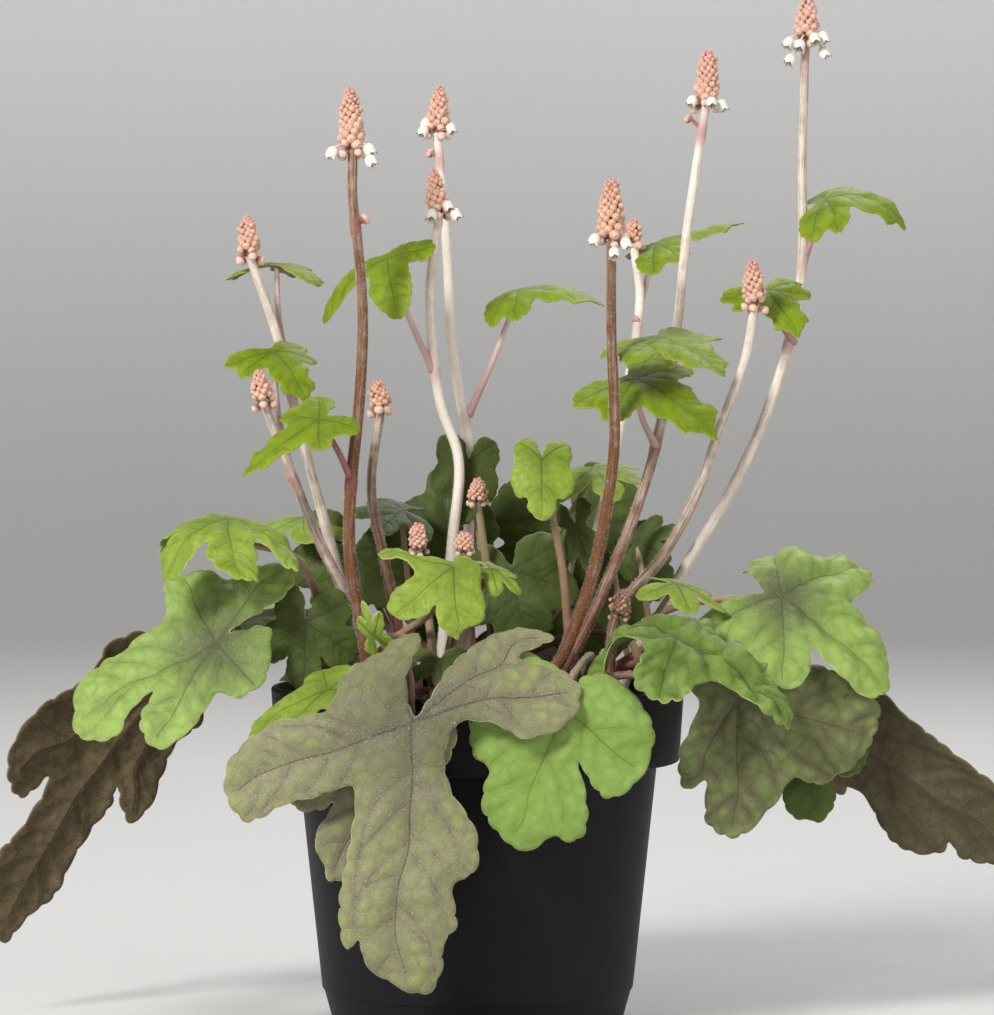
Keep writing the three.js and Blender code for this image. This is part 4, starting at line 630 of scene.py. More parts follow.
def vein_lines(ring, tips, pitch, step):
    """Main veins as bent lines from the stalk to the tips, and side veins that leave them in pairs."""
    mains = []
    for m, tip in enumerate(tips):
        line = even(wandering(even(middle_line(tip, ring), step), 0.6, 3 * m + tip[0]), step)
        keep = np.logical_and.accumulate(inside(line, ring) & (edge_gap(line, ring) > 0.5))
        if keep.sum() > 4:
            mains.append(line[keep])
    sides = []
    for m, line in enumerate(mains):
        long = len(line) * step
        for hand in (1, -1):
            first = (0.2 if long > 20 else 0.3) * long + (0.5 * pitch if hand > 0 else 0)
            for n, s in enumerate(np.arange(first, 0.9 * long, pitch)):
                k = int(s / step + 0.25 * pitch / step * np.sin(3.1 * n + 2 * m + hand))
                k = min(max(k, 2), len(line) - 2)
                ahead = unit(line[min(k + 2, len(line) - 1)] - line[k - 2])
                across = np.array([-ahead[1], ahead[0]]) * hand
                r = np.linspace(0, 1, 70)[:, None] * 45
                way = ahead * (0.5 * r + 0.012 * r**2) + across * (0.82 * r - 0.009 * r**2)
                branch = even(wandering(line[k] + way, 1.1, n + 5 * m + 2 * hand), step)[1:]
                own = distance_to(branch, line[:-1], line[1:])
                others = [distance_to(branch, *straight([o])) for o in mains if o is not line]
                free = (own > 0.4 * step) | (np.arange(len(branch)) < 2)
                if others:
                    free &= np.min(others, axis=0) > own * 0.92 + 0.6
                if sides:
                    free &= distance_to(branch, *straight([s for _, _, s in sides])) > 0.7 * step
                keep = np.logical_and.accumulate(
                    inside(branch, ring) & (edge_gap(branch, ring) > 1.2) & free)
                if keep.sum() * step > 2.2:
                    sides.append((m, k, branch[keep]))
    return mains, sides


mains, sides = vein_lines(ring, tips, 7, 1.1)
print("main veins:", len(mains), "side veins:", len(sides))

# %% [markdown]
# ## The net of small veins
# Between the veins a leaf is divided into small fields. Points on a loose grid each own the ground that
# is nearest to them, and the borders between their grounds look like that net.

# %% Distance to the net of small veins
def cell_gap(p, size, seed):
    """How far a point is from the border between two cells: half the difference between its distances
    to the two nearest sites. The sites stand on a staggered grid, each moved a little at random."""
    q = p + 0.22 * size * np.stack([uneven(p, size, seed), uneven(p, size, seed + 3)], axis=1)
    low, high = q.min(0) - size, q.max(0) + size
    sites = np.stack(np.meshgrid(np.arange(low[0], high[0], size),
                                 np.arange(low[1], high[1], 0.87 * size)), axis=-1)
    sites[1::2, :, 0] += size / 2
    sites = sites.reshape(-1, 2) + rng.uniform(-0.33, 0.33, (sites.size // 2, 2)) * size
    gap = np.hypot(q[:, None, 0] - sites[:, 0], q[:, None, 1] - sites[:, 1])
    gap = np.partition(gap, 1, axis=1)
    return (gap[:, 1] - gap[:, 0]) / 2


print("the small net is a distance at every point, in mm")

# %% [markdown]
# ## A flat net of triangles that follows the veins
# The colour of a vein and the groove along it are only as sharp as the net of the leaf. So the margin
# and every vein are edges of the net, and a staggered grid of points fills the rest. A Delaunay
# triangulation, the one with the roundest triangles, joins them up.

# %% The net of a flat leaf
def flat_leaf(outline, depth, pitch, branch, step):
    """Points, triangles, and each point's distance to the margin, the main veins, the side veins and
    the net of small veins."""
    ring = even(smooth_line(outline, closed=True), 0.8 * step, closed=True)
    x, y = ring.T
    if (x * np.roll(y, -1) - np.roll(x, -1) * y).sum() < 0:
        ring = ring[::-1]
    tips = lobe_tips(ring, 0.06 * np.abs(ring).max())
    ring = toothed(ring, depth, pitch)
    mains, sides = vein_lines(ring, tips, branch, step)
    points, edges = [ring, np.zeros((1, 2))], []

    def draw(root, line):
        """Adds a line to the drawing, joined to the point with the number root."""
        first = sum(map(len, points))
        chain = [root, *range(first, first + len(line))]
        edges.extend(zip(chain[:-1], chain[1:]))
        points.append(line)
        return first

    starts = [draw(len(ring), line[1:]) for line in mains]
    for m, k, line in sides:
        draw(starts[m] + k - 1, line)
    drawn = np.vstack(points)
    low, high = ring.min(0), ring.max(0)
    rows = np.arange(low[1], high[1], 0.866 * step)
    cols = np.arange(low[0], high[0], step)
    grid = np.stack(np.meshgrid(cols, rows), axis=-1)
    grid[1::2, :, 0] += step / 2
    grid = grid.reshape(-1, 2)
    grid = grid[inside(grid, ring)]
    grid = grid[edge_gap(grid, ring) > 0.55 * step]
    veins = np.array(edges)
    grid = grid[distance_to(grid, drawn[veins[:, 0]], drawn[veins[:, 1]]) > 0.5 * step]
    every = np.vstack([drawn, grid])
    made = delaunay_2d_cdt([tuple(p) for p in every.tolist()], [tuple(map(int, e)) for e in edges],
                           [list(range(len(ring)))], 1, 1e-5)
    points, faces = np.array([tuple(p) for p in made[0]]), np.array(made[2])
    main = np.min([distance_to(points, *straight([line])) for line in mains], axis=0)
    side = np.full(len(points), 99.0)
    if sides:
        side = distance_to(points, *straight([line for _, _, line in sides]))
    net = cell_gap(points, 0.55 * branch, branch + len(points))
    return dict(points=points, faces=faces, rim=edge_gap(points, ring), main=main, side=side, net=net)


test = flat_leaf(OUTLINES["young"], 0.8, 4.5, 4, 0.9)
print("a young leaf:", len(test["points"]), "points,", len(test["faces"]), "triangles")

# %% [markdown]
# ## Relief
# A real blade is quilted: it swells between the veins, which lie in grooves above and stand as ridges
# below. All of that is a height over the flat leaf, and every bulge fades out towards the margin. Near
# the stalk the height goes back to nothing, so the blade stays on its stalk.

# %% The height over a flat leaf
def bump(distance, width):
    """1 on a line and 0 far from it: e to the power of minus (distance / width) squared."""
    return np.exp(-(distance / width) ** 2)


def relief(net, size, reach, seed, turn, quilt, pleat, crease):
    """The height in mm: quilt between all veins, pleat between main veins, and crease at random, on a
    slow wave that goes round the leaf with its lobes."""
    p, rim = net["points"], net["rim"]
    px, py = p.T
    wave = 1.2 * size * reach**2 * np.sin(5 * np.arctan2(px, py) + turn)
    near = np.minimum(net["main"] * 0.9, net["side"])
    swell = (1 - bump(near, 2.3)) * (0.45 + 0.55 * (1 - bump(net["net"], 0.8)))
    groove = bump(net["main"], 0.7) + 0.5 * bump(net["side"], 0.6)
    calm = np.clip(rim / 3, 0.15, 1)
    height = quilt * (1.3 * swell * calm - 0.6 * groove)
    height += pleat * (1 - bump(net["main"], 4.5)) * np.clip(rim / 6, 0.2, 1)
    height += crease * (uneven(p, 8.5, seed) + 0.45 * calm * uneven(p, 3.4, seed + 2)
                        + 0.8 * np.exp(-rim / 3) * uneven(p, 4.5, seed + 4))
    return wave + height * (1 - bump(np.linalg.norm(p, axis=1), 4))


print("a groove half a millimetre beside a main vein:", bump(0.5, 0.7).round(2))

# %% [markdown]
# ## Bending the flat leaf into its place
# The blade curls down across and along itself, each part by its own angle, and turns into its place.
# Curling keeps lengths true, which is how a growing blade behaves.

# %% From the flat leaf into space
def curl(s, h, degrees, reach):
    """A flat strip of length s and height h laid round an arc that turns by the given angle at its full
    reach: the run is sin(a) / k, and the drop is (1 - cos(a)) / k, with a the angle at s."""
    k = np.maximum(np.radians(degrees) / reach, 1e-6)
    a = k * np.abs(s)
    return np.sign(s) * (np.sin(a) / k + h * np.sin(a)), h * np.cos(a) - (1 - np.cos(a)) / k


def directions(leaf):
    """Across the blade, along its middle lobe, and out of its upper side."""
    y = unit(leaf["along"])
    z = np.asarray(leaf["face"], float)
    z = unit(z - (z @ y) * y)
    return np.cross(y, z), y, z


def nudged(leaf, by):
    """The leaf moved by the given length in mm out of its upper side."""
    return {**leaf, "at": np.array(leaf["at"]) + by * directions(leaf)[2]}


def bent(leaf, shape, p, height):
    """The flat points with their heights, curled by the leaf's four bends and set in its place."""
    px, py = p.T
    front, rear, right, left = leaf["bend"]
    far_x = np.where(px > 0, shape[:, 0].max(), -shape[:, 0].min())
    far_y = np.where(py > 0, shape[:, 1].max(), -shape[:, 1].min())
    bx, h = curl(px, height, np.where(px > 0, right, left), far_x)
    by, h = curl(py, h, np.where(py > 0, front, rear), far_y)
    x, y, z = directions(leaf)
    return np.array(leaf["at"]) + bx[:, None] * x + by[:, None] * y + h[:, None] * z


print("10 mm of blade curled by 30 degrees:", np.round(curl(np.array([10.0]), 0.0, 30, 10), 2).ravel())

# %% [markdown]
# ## The closed blade
# Two sheets half a millimetre apart and a strip round the rim close the blade. Hairs stand on its upper
# side, and longer ones along its margin. A larger triangle gets more of them.

# %% A leaf blade
HAIRS_PER_MM2 = 0.45


def blade(leaf, outline, depth=1.2, pitch=9, branch=7, step=1.1, quilt=0.5, pleat=0.8, crease=0.5,
          thick=0.5):
    """The surfaces of one leaf: both sheets with the rim between them, and its hairs."""
    wide_right, wide_left = leaf.get("sides", (1, 1))
    shape = np.array(outline, float) * leaf["size"]
    shape[:, 0] *= np.where(shape[:, 0] > 0, wide_right, wide_left)
    net = flat_leaf(shape, depth, pitch, branch, step)
    p, faces, rim = net["points"], net["faces"], net["rim"]
    count = len(p)
    seed = leaf["at"][0] + leaf["at"][2] + leaf.get("luck", 0)
    reach = np.linalg.norm(p, axis=1) / shape[:, 1].max()
    middle = bent(leaf, shape, p, relief(net, leaf["size"], reach, seed, leaf["at"][0], quilt, pleat,
                                         crease))
    first, second, third = middle[faces[:, 0]], middle[faces[:, 1]], middle[faces[:, 2]]
    square = np.cross(second - first, third - first)
    out = np.zeros_like(middle)
    for corner in faces.T:
        np.add.at(out, corner, square)
    out = unit(out)
    half = thick / 2 * np.clip(rim / 0.8 + 0.45, 0, 1)[:, None]
    ridge = (0.6 * bump(net["main"], 0.8) * np.clip(1.25 - reach, 0.2, 1)
             + 0.22 * bump(net["side"], 0.5))[:, None]
    pairs = np.vstack([faces[:, [0, 1]], faces[:, [1, 2]], faces[:, [2, 0]]])
    there, back = pairs[:, 0] * count + pairs[:, 1], pairs[:, 1] * count + pairs[:, 0]
    a, b = pairs[~np.isin(there, back)].T
    sheets = np.vstack([faces, faces[:, [0, 2, 1]] + count])
    strip = np.vstack([np.stack([a + count, b + count, b], 1), np.stack([a + count, b, a], 1)])
    values = dict(vein=net["main"], side_vein=net["side"], net=net["net"], rim=rim, reach=reach)
    made = surface(
        np.vstack([middle + out * half, middle - out * (half + ridge)]), np.vstack([sheets, strip]),
        flat=np.vstack([np.c_[p, np.full(count, seed)]] * 2), chance=rng.uniform(),
        upper=np.repeat([1.0, 0.0], count), **{key: np.tile(v, 2) for key, v in values.items()})
    weight = np.linalg.norm(square, axis=1)
    pick = rng.choice(len(faces), int(HAIRS_PER_MM2 * weight.sum() / 2), p=weight / weight.sum())
    part = rng.dirichlet((1, 1, 1), len(pick))
    roots = (middle[faces[pick]] * part[..., None]).sum(1)
    up = out[faces[pick, 0]]
    share = rng.uniform(0, 1, len(a))[:, None]
    edge = middle[a] * (1 - share) + middle[b] * share
    aside = unit(np.cross(middle[b] - middle[a], out[a]))
    return [made, hairs(roots + up * thick / 2, up, 0.42, width=0.026, lean=0.8),
            hairs(edge, aside + 0.3 * out[a], 0.6, width=0.032, lean=0.45)]


print("a young leaf in place:", [len(s["faces"]) for s in blade(LEAVES[5], OUTLINES["young"])], "faces")

# %% [markdown]
# ## Shader maths as plain expressions
# A procedural colour is a formula, such as "purple where a vein is nearer than half a millimetre".
# Written node by node it can't be read. So a number on a surface becomes a Python object here, and
# adding or multiplying it adds the Math node. Colours are only mixed, by a factor.

# %% A small kit for materials
class Amount:
    """A number that changes over the surface, held by a node's socket."""

    def __init__(self, kit, socket):
        self.kit, self.socket = kit, socket

    def math(self, operation, other, swap=False):
        pair = (other, self) if swap else (self, other)
        return Amount(self.kit, self.kit.node("ShaderNodeMath", {"operation": operation},
                                              {0: pair[0], 1: pair[1]}).outputs[0])

    def __add__(self, other): return self.math("ADD", other)
    def __radd__(self, other): return self.math("ADD", other, True)
    def __sub__(self, other): return self.math("SUBTRACT", other)
    def __rsub__(self, other): return self.math("SUBTRACT", other, True)
    def __mul__(self, other): return self.math("MULTIPLY", other)
    def __rmul__(self, other): return self.math("MULTIPLY", other, True)
    def __truediv__(self, other): return self.math("DIVIDE", other)
    def __rtruediv__(self, other): return self.math("DIVIDE", other, True)
    def lower(self, other): return self.math("MINIMUM", other)
    def higher(self, other): return self.math("MAXIMUM", other)

    def between(self, low, high):
        """0 below low, 1 above high, and an eased slope from one to the other."""
        node = self.kit.node("ShaderNodeMapRange", {"interpolation_type": "SMOOTHSTEP"},
                             {"Value": self, "From Min": low, "From Max": high})
        return Amount(self.kit, node.outputs["Result"])


class Finish:
    """A material that is being written: one method makes every node."""

    def __init__(self, name, **sockets):
        self.material = bpy.data.materials.new(name)
        self.material.use_nodes = True
        self.tree = self.material.node_tree
        self.shader = self.tree.nodes["Principled BSDF"]
        for key, value in sockets.items():
            self.shader.inputs[key.replace("_", " ")].default_value = value

    def put(self, socket, value):
        """Links a socket to another one, or gives it a plain value."""
        if isinstance(value, Amount):
            value = value.socket
        if isinstance(value, bpy.types.NodeSocket):
            self.tree.links.new(value, socket)
        elif isinstance(value, tuple) and len(value) == 3 and socket.type == "RGBA":
            socket.default_value = (*value, 1)
        else:
            socket.default_value = value

    def node(self, kind, settings, sockets):
        made = self.tree.nodes.new(kind)
        for key, value in settings.items():
            setattr(made, key, value)
        for key, value in sockets.items():
            self.put(made.inputs[key], value)
        return made

    def value(self, name):
        """A value that every point of the piece carries."""
        return Amount(self, self.node("ShaderNodeAttribute", {"attribute_name": name}, {}).outputs["Fac"])

    def place(self):
        """The place on the flat leaf or along the stalk, in mm."""
        return self.node("ShaderNodeAttribute", {"attribute_name": "flat"}, {}).outputs["Vector"]

    def object_place(self):
        """The place in space, in metres."""
        return self.node("ShaderNodeTexCoord", {}, {}).outputs["Object"]

    def noise(self, where, scale, detail, rough=0.5):
        """Smooth random values round a half, with the given number of spots in a unit of length."""
        made = self.node("ShaderNodeTexNoise", {}, {"Vector": where, "Scale": scale, "Detail": detail,
                                                    "Roughness": rough})
        return Amount(self, made.outputs["Fac"])

    def stretched(self, where, scale):
        return self.node("ShaderNodeMapping", {}, {"Vector": where, "Scale": scale}).outputs["Vector"]

    def vector(self, operation, sockets):
        return self.node("ShaderNodeVectorMath", {"operation": operation}, sockets).outputs[0]

    def warped(self, where, scale, most):
        """The place moved by a noise of its own, by at most the given length in each direction."""
        cloud = self.node("ShaderNodeTexNoise", {}, {"Vector": where, "Scale": scale}).outputs["Color"]
        even = self.vector("SUBTRACT", {0: cloud, 1: (0.5, 0.5, 0.5)})
        return self.vector("ADD", {0: where, 1: self.vector("SCALE", {0: even, "Scale": 2 * most})})

    def cells(self, where, scale):
        """The distance to the border of the nearest cell."""
        made = self.node("ShaderNodeTexVoronoi", {"feature": "DISTANCE_TO_EDGE"},
                         {"Vector": where, "Scale": scale})
        return Amount(self, made.outputs["Distance"])

    def mix(self, factor, under, over):
        """The colour under, and over it the second colour where the factor is 1."""
        made = self.node("ShaderNodeMix", {"data_type": "RGBA"}, {"Factor": factor, 6: under, 7: over})
        return made.outputs[2]

    def finish(self, color, rough=None, height=None, depth=0.0003, strength=0.5):
        """The finished material; the height makes a bump of the given depth in metres."""
        self.put(self.shader.inputs["Base Color"], color)
        if rough is not None:
            self.put(self.shader.inputs["Roughness"], rough)
        if height is not None:
            rise = self.node("ShaderNodeBump", {}, {"Height": height, "Distance": depth,
                                                    "Strength": strength})
            self.put(self.shader.inputs["Normal"], rise.outputs["Normal"])
        return self.material


print("maths on numbers:", ", ".join(k for k in vars(Amount) if "add" in k or "mul" in k))

# %% [markdown]
# ## The leaf finish
# All leaves share one recipe with their own colours. The pillows between the veins are yellower, the
# valleys of the net duller, the place where the main veins meet is stained, and the veins and the pale
# rim are thin. The underside is browner. Pale specks on both sides are painted glints of the glistening
# hairs. A light bump breaks the gloss, as on a real blade.

# %% Leaf finishes
def leaf_finish(name, ground, cloud, shade, vein, rim, under, under_vein, stain=0.0, lines=0.4,
                patch=0.5, glow=0.5, specks_and_glints=0.3):
    """Upper and lower colours, chosen by the value "upper" on the two sheets. The valleys of the net
    turn to shade by patch, the pillows between them to cloud by glow, and veins are dark by lines."""
    f = Finish(name, Roughness=0.5, Specular_IOR_Level=0.22)
    upper = f.value("upper")
    main, side, net = f.value("vein"), f.value("side_vein"), f.value("net")
    edge, reach = f.value("rim"), f.value("reach")
    flat = f.warped(f.warped(f.place(), 0.11, 3.0), 0.45, 0.9)
    broad, middle = f.noise(flat, 0.045, 3.0, 0.55), f.noise(flat, 0.17, 4.0, 0.62)
    fine, glint_and_grain = f.noise(flat, 0.9, 4.0, 0.7), f.noise(flat, 3.4, 2.0, 0.6)
    small = f.cells(flat, 0.5)
    pillow = side.between(0.0, 3.0) * main.between(0.2, 4.0) * (0.3 + 0.7 * net.between(0.0, 1.5))
    half = (1.3 - reach).higher(0.3)
    on_main = 1 - (main / half).between(0.08, 0.5)
    on_side = (1 - side.between(0.0, 0.4)) * middle.between(0.36, 0.6)
    on_net = (1 - net.between(0.0, 0.5)).higher(0.6 * (1 - small.between(0.0, 0.12)))
    color = f.mix((1 - pillow) * (0.35 + middle.between(0.35, 0.65)).lower(1.0) * patch, ground, shade)
    color = f.mix(middle.between(0.56, 0.7) * patch * 0.6, color, shade)
    color = f.mix(broad.between(0.48, 0.66) * patch * 0.45, color, shade)
    shine = pillow * (0.25 + 0.75 * broad.between(0.42, 0.62)) * middle.between(0.3, 0.55)
    color = f.mix(shine * glow, color, cloud)
    color = f.mix((1 - reach.between(0.02, 0.55)) * stain * (0.4 + fine), color, vein)
    color = f.mix(on_net * 0.22 * lines * (0.3 + broad), color, vein)
    color = f.mix(on_side * 0.5 * lines, color, vein)
    color = f.mix(on_main * lines, color, vein)
    color = f.mix(fine.between(0.48, 0.68) * specks_and_glints * 0.7, color, shade)
    # Painted glints: pale specks stand for the light caught by the glistening hairs.
    color = f.mix(glint_and_grain.between(0.58, 0.72) * specks_and_glints * (1.2 - pillow), color, rim)
    thin = (1 - edge.between(0.03, 0.42)) * (0.15 + middle.between(0.35, 0.65)).lower(1.0)
    color = f.mix(thin * 0.65, color, rim)
    below = f.mix(middle.between(0.42, 0.6) * 0.6, under, tuple(0.6 * c for c in under))
    for factor in ((1 - pillow) * 0.35, on_net * 0.6, on_side * 0.6, on_main * 0.7):
        below = f.mix(factor, below, under_vein)
    # Painted glints of the hairs on the underside as well.
    below = f.mix(glint_and_grain.between(0.58, 0.72) * specks_and_glints * 0.7, below, rim)
    below = f.mix(thin * 0.7, below, rim)
    bumps = 0.2 * small.between(0.0, 0.3) + 0.8 * fine + 0.4 * glint_and_grain - 0.5 * on_side - 0.6 * on_main
    return f.finish(f.mix(upper, below, color), 0.42 + 0.24 * fine, bumps, 0.0006, 0.35)


# Each row: ground, cloud, shade, vein, rim, underside, underside vein, and the strengths.
LEAF = {key: leaf_finish(name, *colors, **rest) for key, name, colors, rest in (
    ("purple", "leaf purple grey", ((0.255, 0.262, 0.13), (0.34, 0.4, 0.095), (0.19, 0.165, 0.105),
     (0.055, 0.048, 0.036), (0.52, 0.54, 0.33), (0.2, 0.15, 0.085), (0.08, 0.055, 0.04)),
     dict(stain=0.7, lines=0.8, patch=0.75, glow=0.6, specks_and_glints=0.75)),
    ("green", "leaf green", ((0.29, 0.42, 0.09), (0.42, 0.56, 0.16), (0.15, 0.2, 0.045),
     (0.06, 0.055, 0.04), (0.5, 0.58, 0.2), (0.16, 0.19, 0.07), (0.25, 0.25, 0.14)), dict(stain=0.9,
     lines=0.55, patch=0.5, glow=0.35)),
    ("bright", "leaf bright green", ((0.23, 0.35, 0.075), (0.33, 0.46, 0.15), (0.16, 0.25, 0.025),
     (0.06, 0.1, 0.015), (0.42, 0.5, 0.17), (0.1, 0.14, 0.03), (0.18, 0.22, 0.08)), dict(stain=0.15,
     lines=0.5, patch=0.5, glow=0.4, specks_and_glints=0.2)),
    ("lime", "leaf lime", ((0.29, 0.4, 0.045), (0.44, 0.54, 0.11), (0.16, 0.23, 0.02),
     (0.055, 0.085, 0.008), (0.5, 0.55, 0.18), (0.26, 0.3, 0.08), (0.34, 0.36, 0.16)), dict(stain=0.45,
     lines=0.6, patch=0.75, specks_and_glints=0.25)),
    ("dark", "leaf olive", ((0.16, 0.2, 0.065), (0.26, 0.33, 0.12), (0.115, 0.1, 0.05),
     (0.04, 0.04, 0.015), (0.36, 0.38, 0.18), (0.11, 0.09, 0.045), (0.06, 0.045, 0.025)),
     dict(stain=0.4, lines=0.55, patch=0.85, glow=0.8, specks_and_glints=0.4)),
    ("brown", "leaf brown backed", ((0.17, 0.22, 0.06), (0.22, 0.26, 0.09), (0.14, 0.13, 0.07),
     (0.07, 0.05, 0.04), (0.34, 0.3, 0.18), (0.15, 0.112, 0.055), (0.05, 0.032, 0.018)), dict(stain=0.3,
     lines=0.7, specks_and_glints=0.45)),
    ("crinkled", "leaf crinkled green", ((0.18, 0.28, 0.05), (0.28, 0.4, 0.09), (0.09, 0.14, 0.018),
     (0.035, 0.055, 0.01), (0.42, 0.5, 0.17), (0.08, 0.11, 0.02), (0.14, 0.17, 0.06)), dict(stain=0.3,
     lines=0.65, patch=0.85, glow=0.5, specks_and_glints=0.35)),
    # Painted shade: dark greens for the leaves that stand in the shade of others.
    ("shade", "leaf with painted shade", ((0.075, 0.115, 0.018), (0.14, 0.2, 0.035), (0.05, 0.06, 0.012),
     (0.03, 0.035, 0.01), (0.26, 0.32, 0.1), (0.07, 0.08, 0.03), (0.05, 0.05, 0.02)), dict(stain=0.3,
     lines=0.4, specks_and_glints=0.2)),
    ("stem leaf", "stem leaf", ((0.23, 0.33, 0.006), (0.36, 0.47, 0.015), (0.13, 0.19, 0.006),
     (0.05, 0.075, 0.006), (0.42, 0.48, 0.09), (0.22, 0.18, 0.075), (0.11, 0.08, 0.035)),
     dict(stain=0.3, lines=0.5, patch=0.75, specks_and_glints=0.15)))}
print("leaf finishes:", ", ".join(LEAF))

# %% [markdown]
# ## Hairs, stalks and stems
# The hairs are clear and almost white. Stalks and stems have fine darker lines along them, a pink flush
# where a leaf leaves a stem, and turn from brown to cream by a value that each stem carries.

# %% Hair and stem finishes
def hair_finish():
    f = Finish("pale hairs", Roughness=0.45)
    return f.finish(f.mix(f.value("tone"), (0.55, 0.5, 0.4), (0.85, 0.84, 0.76)))


def stem_finish(name, brown, cream, pink):
    """tone 0 is brown and 1 is cream; blush adds pink."""
    f = Finish(name, Roughness=0.5, Specular_IOR_Level=0.25, Sheen_Weight=0.35, Sheen_Roughness=0.35)
    where = f.object_place()
    streaks = f.noise(f.stretched(f.place(), (1, 1, 0.05)), 1.7, 3.0, 0.6)
    blots = f.noise(where, 260.0, 3.0)
    tone = (f.value("tone") + 0.5 * (blots - 0.5) + 0.9 * (streaks - 0.5)).between(0.0, 1.0)
    color = f.mix(tone, brown, cream)
    color = f.mix((f.value("blush") + 0.5 * (streaks - 0.5)).between(0.1, 1.0) * 0.75, color, pink)
    color = f.mix(f.noise(where, 2600.0, 2.0).between(0.6, 0.72) * 0.35, color, brown)
    return f.finish(color, 0.42 + 0.2 * blots, streaks + 0.4 * blots, 0.0003, 0.5)


HAIR = hair_finish()
STEM = stem_finish("flower stem", (0.145, 0.056, 0.016), (0.93, 0.83, 0.72), (0.36, 0.09, 0.1))
LEAF_STALK = stem_finish("leaf stalk", (0.18, 0.075, 0.05), (0.4, 0.35, 0.18), (0.34, 0.08, 0.09))
print("stem finishes:", STEM.name, "and", LEAF_STALK.name)

# %% [markdown]
# ## The mature leaves
# Fifteen leaves are placed as the photo shows them and six stand behind. Each is its own object, because
# each is a solid of its own in the packed model. Some leaves have teeth, relief or a colour of their own,
# those in the shade of others get dark greens with painted shade, and a few are moved by up to 2 mm,
# which keeps them clear of a neighbour.

# %% Mature leaves
TEETH = {"leaf_left_lime": (1.7, 6.0), "leaf_front_curled": (1.7, 5.5), "leaf_right_olive": (1.3, 7.0),
         "leaf_far_left": (1.3, 7.5)}
RELIEF = {"leaf_front_curled": (0.9, 1.6, 2.2), "leaf_front_green": (0.3, 1.0, 0.9),
          "leaf_right_green": (0.5, 2.0, 1.1), "leaf_left_lime": (0.5, 1.3, 1.0),
          "leaf_front_purple": (0.45, 1.2, 0.7), "leaf_right_olive": (0.5, 1.2, 1.3),
          "leaf_left_green": (0.5, 1.3, 1.1)}
# LOOK gives some leaves another finish; "shade" paints shade into those that stand behind or under others.
LOOK = {"leaf_front_curled": "crinkled", "leaf_far_right": "dark", "leaf_back_2": "shade",
        "leaf_back_4": "shade", "leaf_left_shade": "shade", "leaf_right_under": "shade"}
NUDGE = {"leaf_front_purple": 0.5, "leaf_front_green": -0.4, "leaf_front_curled": 1.8,
         "stem_h": -1.0, "stem_b": 0.8}
LUCK = {"leaf_front_curled": 14.3}
LEAVES = [dict(nudged(leaf, NUDGE.get(leaf["name"], 0)), luck=LUCK.get(leaf["name"], 0))
          for leaf in LEAVES]

for leaf in LEAVES:
    name = leaf["name"]
    small = leaf["outline"] in ("young", "lobed", "round") or leaf["size"] < 0.65
    quilt, pleat, crease = RELIEF.get(name, (0.3, 0.7, 0.4) if small else (0.4, 1.0, 0.6))
    depth, pitch = TEETH.get(name, (0.7, 4.5) if small else (1.1, 7.5))
    pile = blade(leaf, OUTLINES[leaf["outline"]], depth, pitch, branch=5 if small else 10.5,
                 step=0.8 if small else 1.05, quilt=quilt, pleat=pleat, crease=crease)
    grow_piece(name + "_fine", pile, [LEAF[LOOK.get(name, leaf["finish"])], HAIR], name)
print("mature leaves:", len(LEAVES), "triangles in the last:", sum(len(s["faces"]) for s in pile))

# %% [markdown]
# ## The rootstock and its leaf stalks
# Three low crowns stand in the compost, joined by a creeping root. Every mature leaf grows from one of
# them on a thin, hairy stalk that arches over the rim. A crown is a turned shape with uneven scales,
# the stubs of older stalks.

# %% Rootstock and leaf stalks
def stalk_path(leaf):
    """From the crown's side up and out, then along the direction in which the stalk meets the blade."""
    home = np.array(MOUNDS[leaf["mound"]], float)
    _, y, z = directions(leaf)
    lean = leaf.get("lean", 0.4)
    comes = unit(z * (1 - lean) + y * lean)
    end = np.array(leaf["at"], float) - 0.9 * z
    near = end - 7.9 * comes
    out = unit(near[:2] - home)
    knee = home + 0.45 * (near[:2] - home)
    via = leaf.get("via", [(*knee, MOUND_TOP + 0.35 * max(0, near[2] - MOUND_TOP) + 10)])
    return [(*(home + 2.5 * out), MOUND_TOP - 4), *via, near, end]


def turned(profile, sides, middle=(0, 0), swell=None):
    """A profile of radius and height carried once round an upright axis. The swell moves it in or out
    by a function of the angle and the height."""
    r, z = np.array(profile, float).T
    r = np.maximum(r, 0.02)
    a = angles(sides)
    radius = np.repeat(r[:, None], sides, axis=1)
    if swell is not None:
        radius = radius + swell(a[None, :], z[:, None]) * (radius > 0.1)
    points = np.stack([middle[0] + radius * np.cos(a), middle[1] + radius * np.sin(a),
                       np.broadcast_to(z[:, None], radius.shape)], axis=-1)
    return surface(points.reshape(-1, 3), grid_faces(len(r), sides))


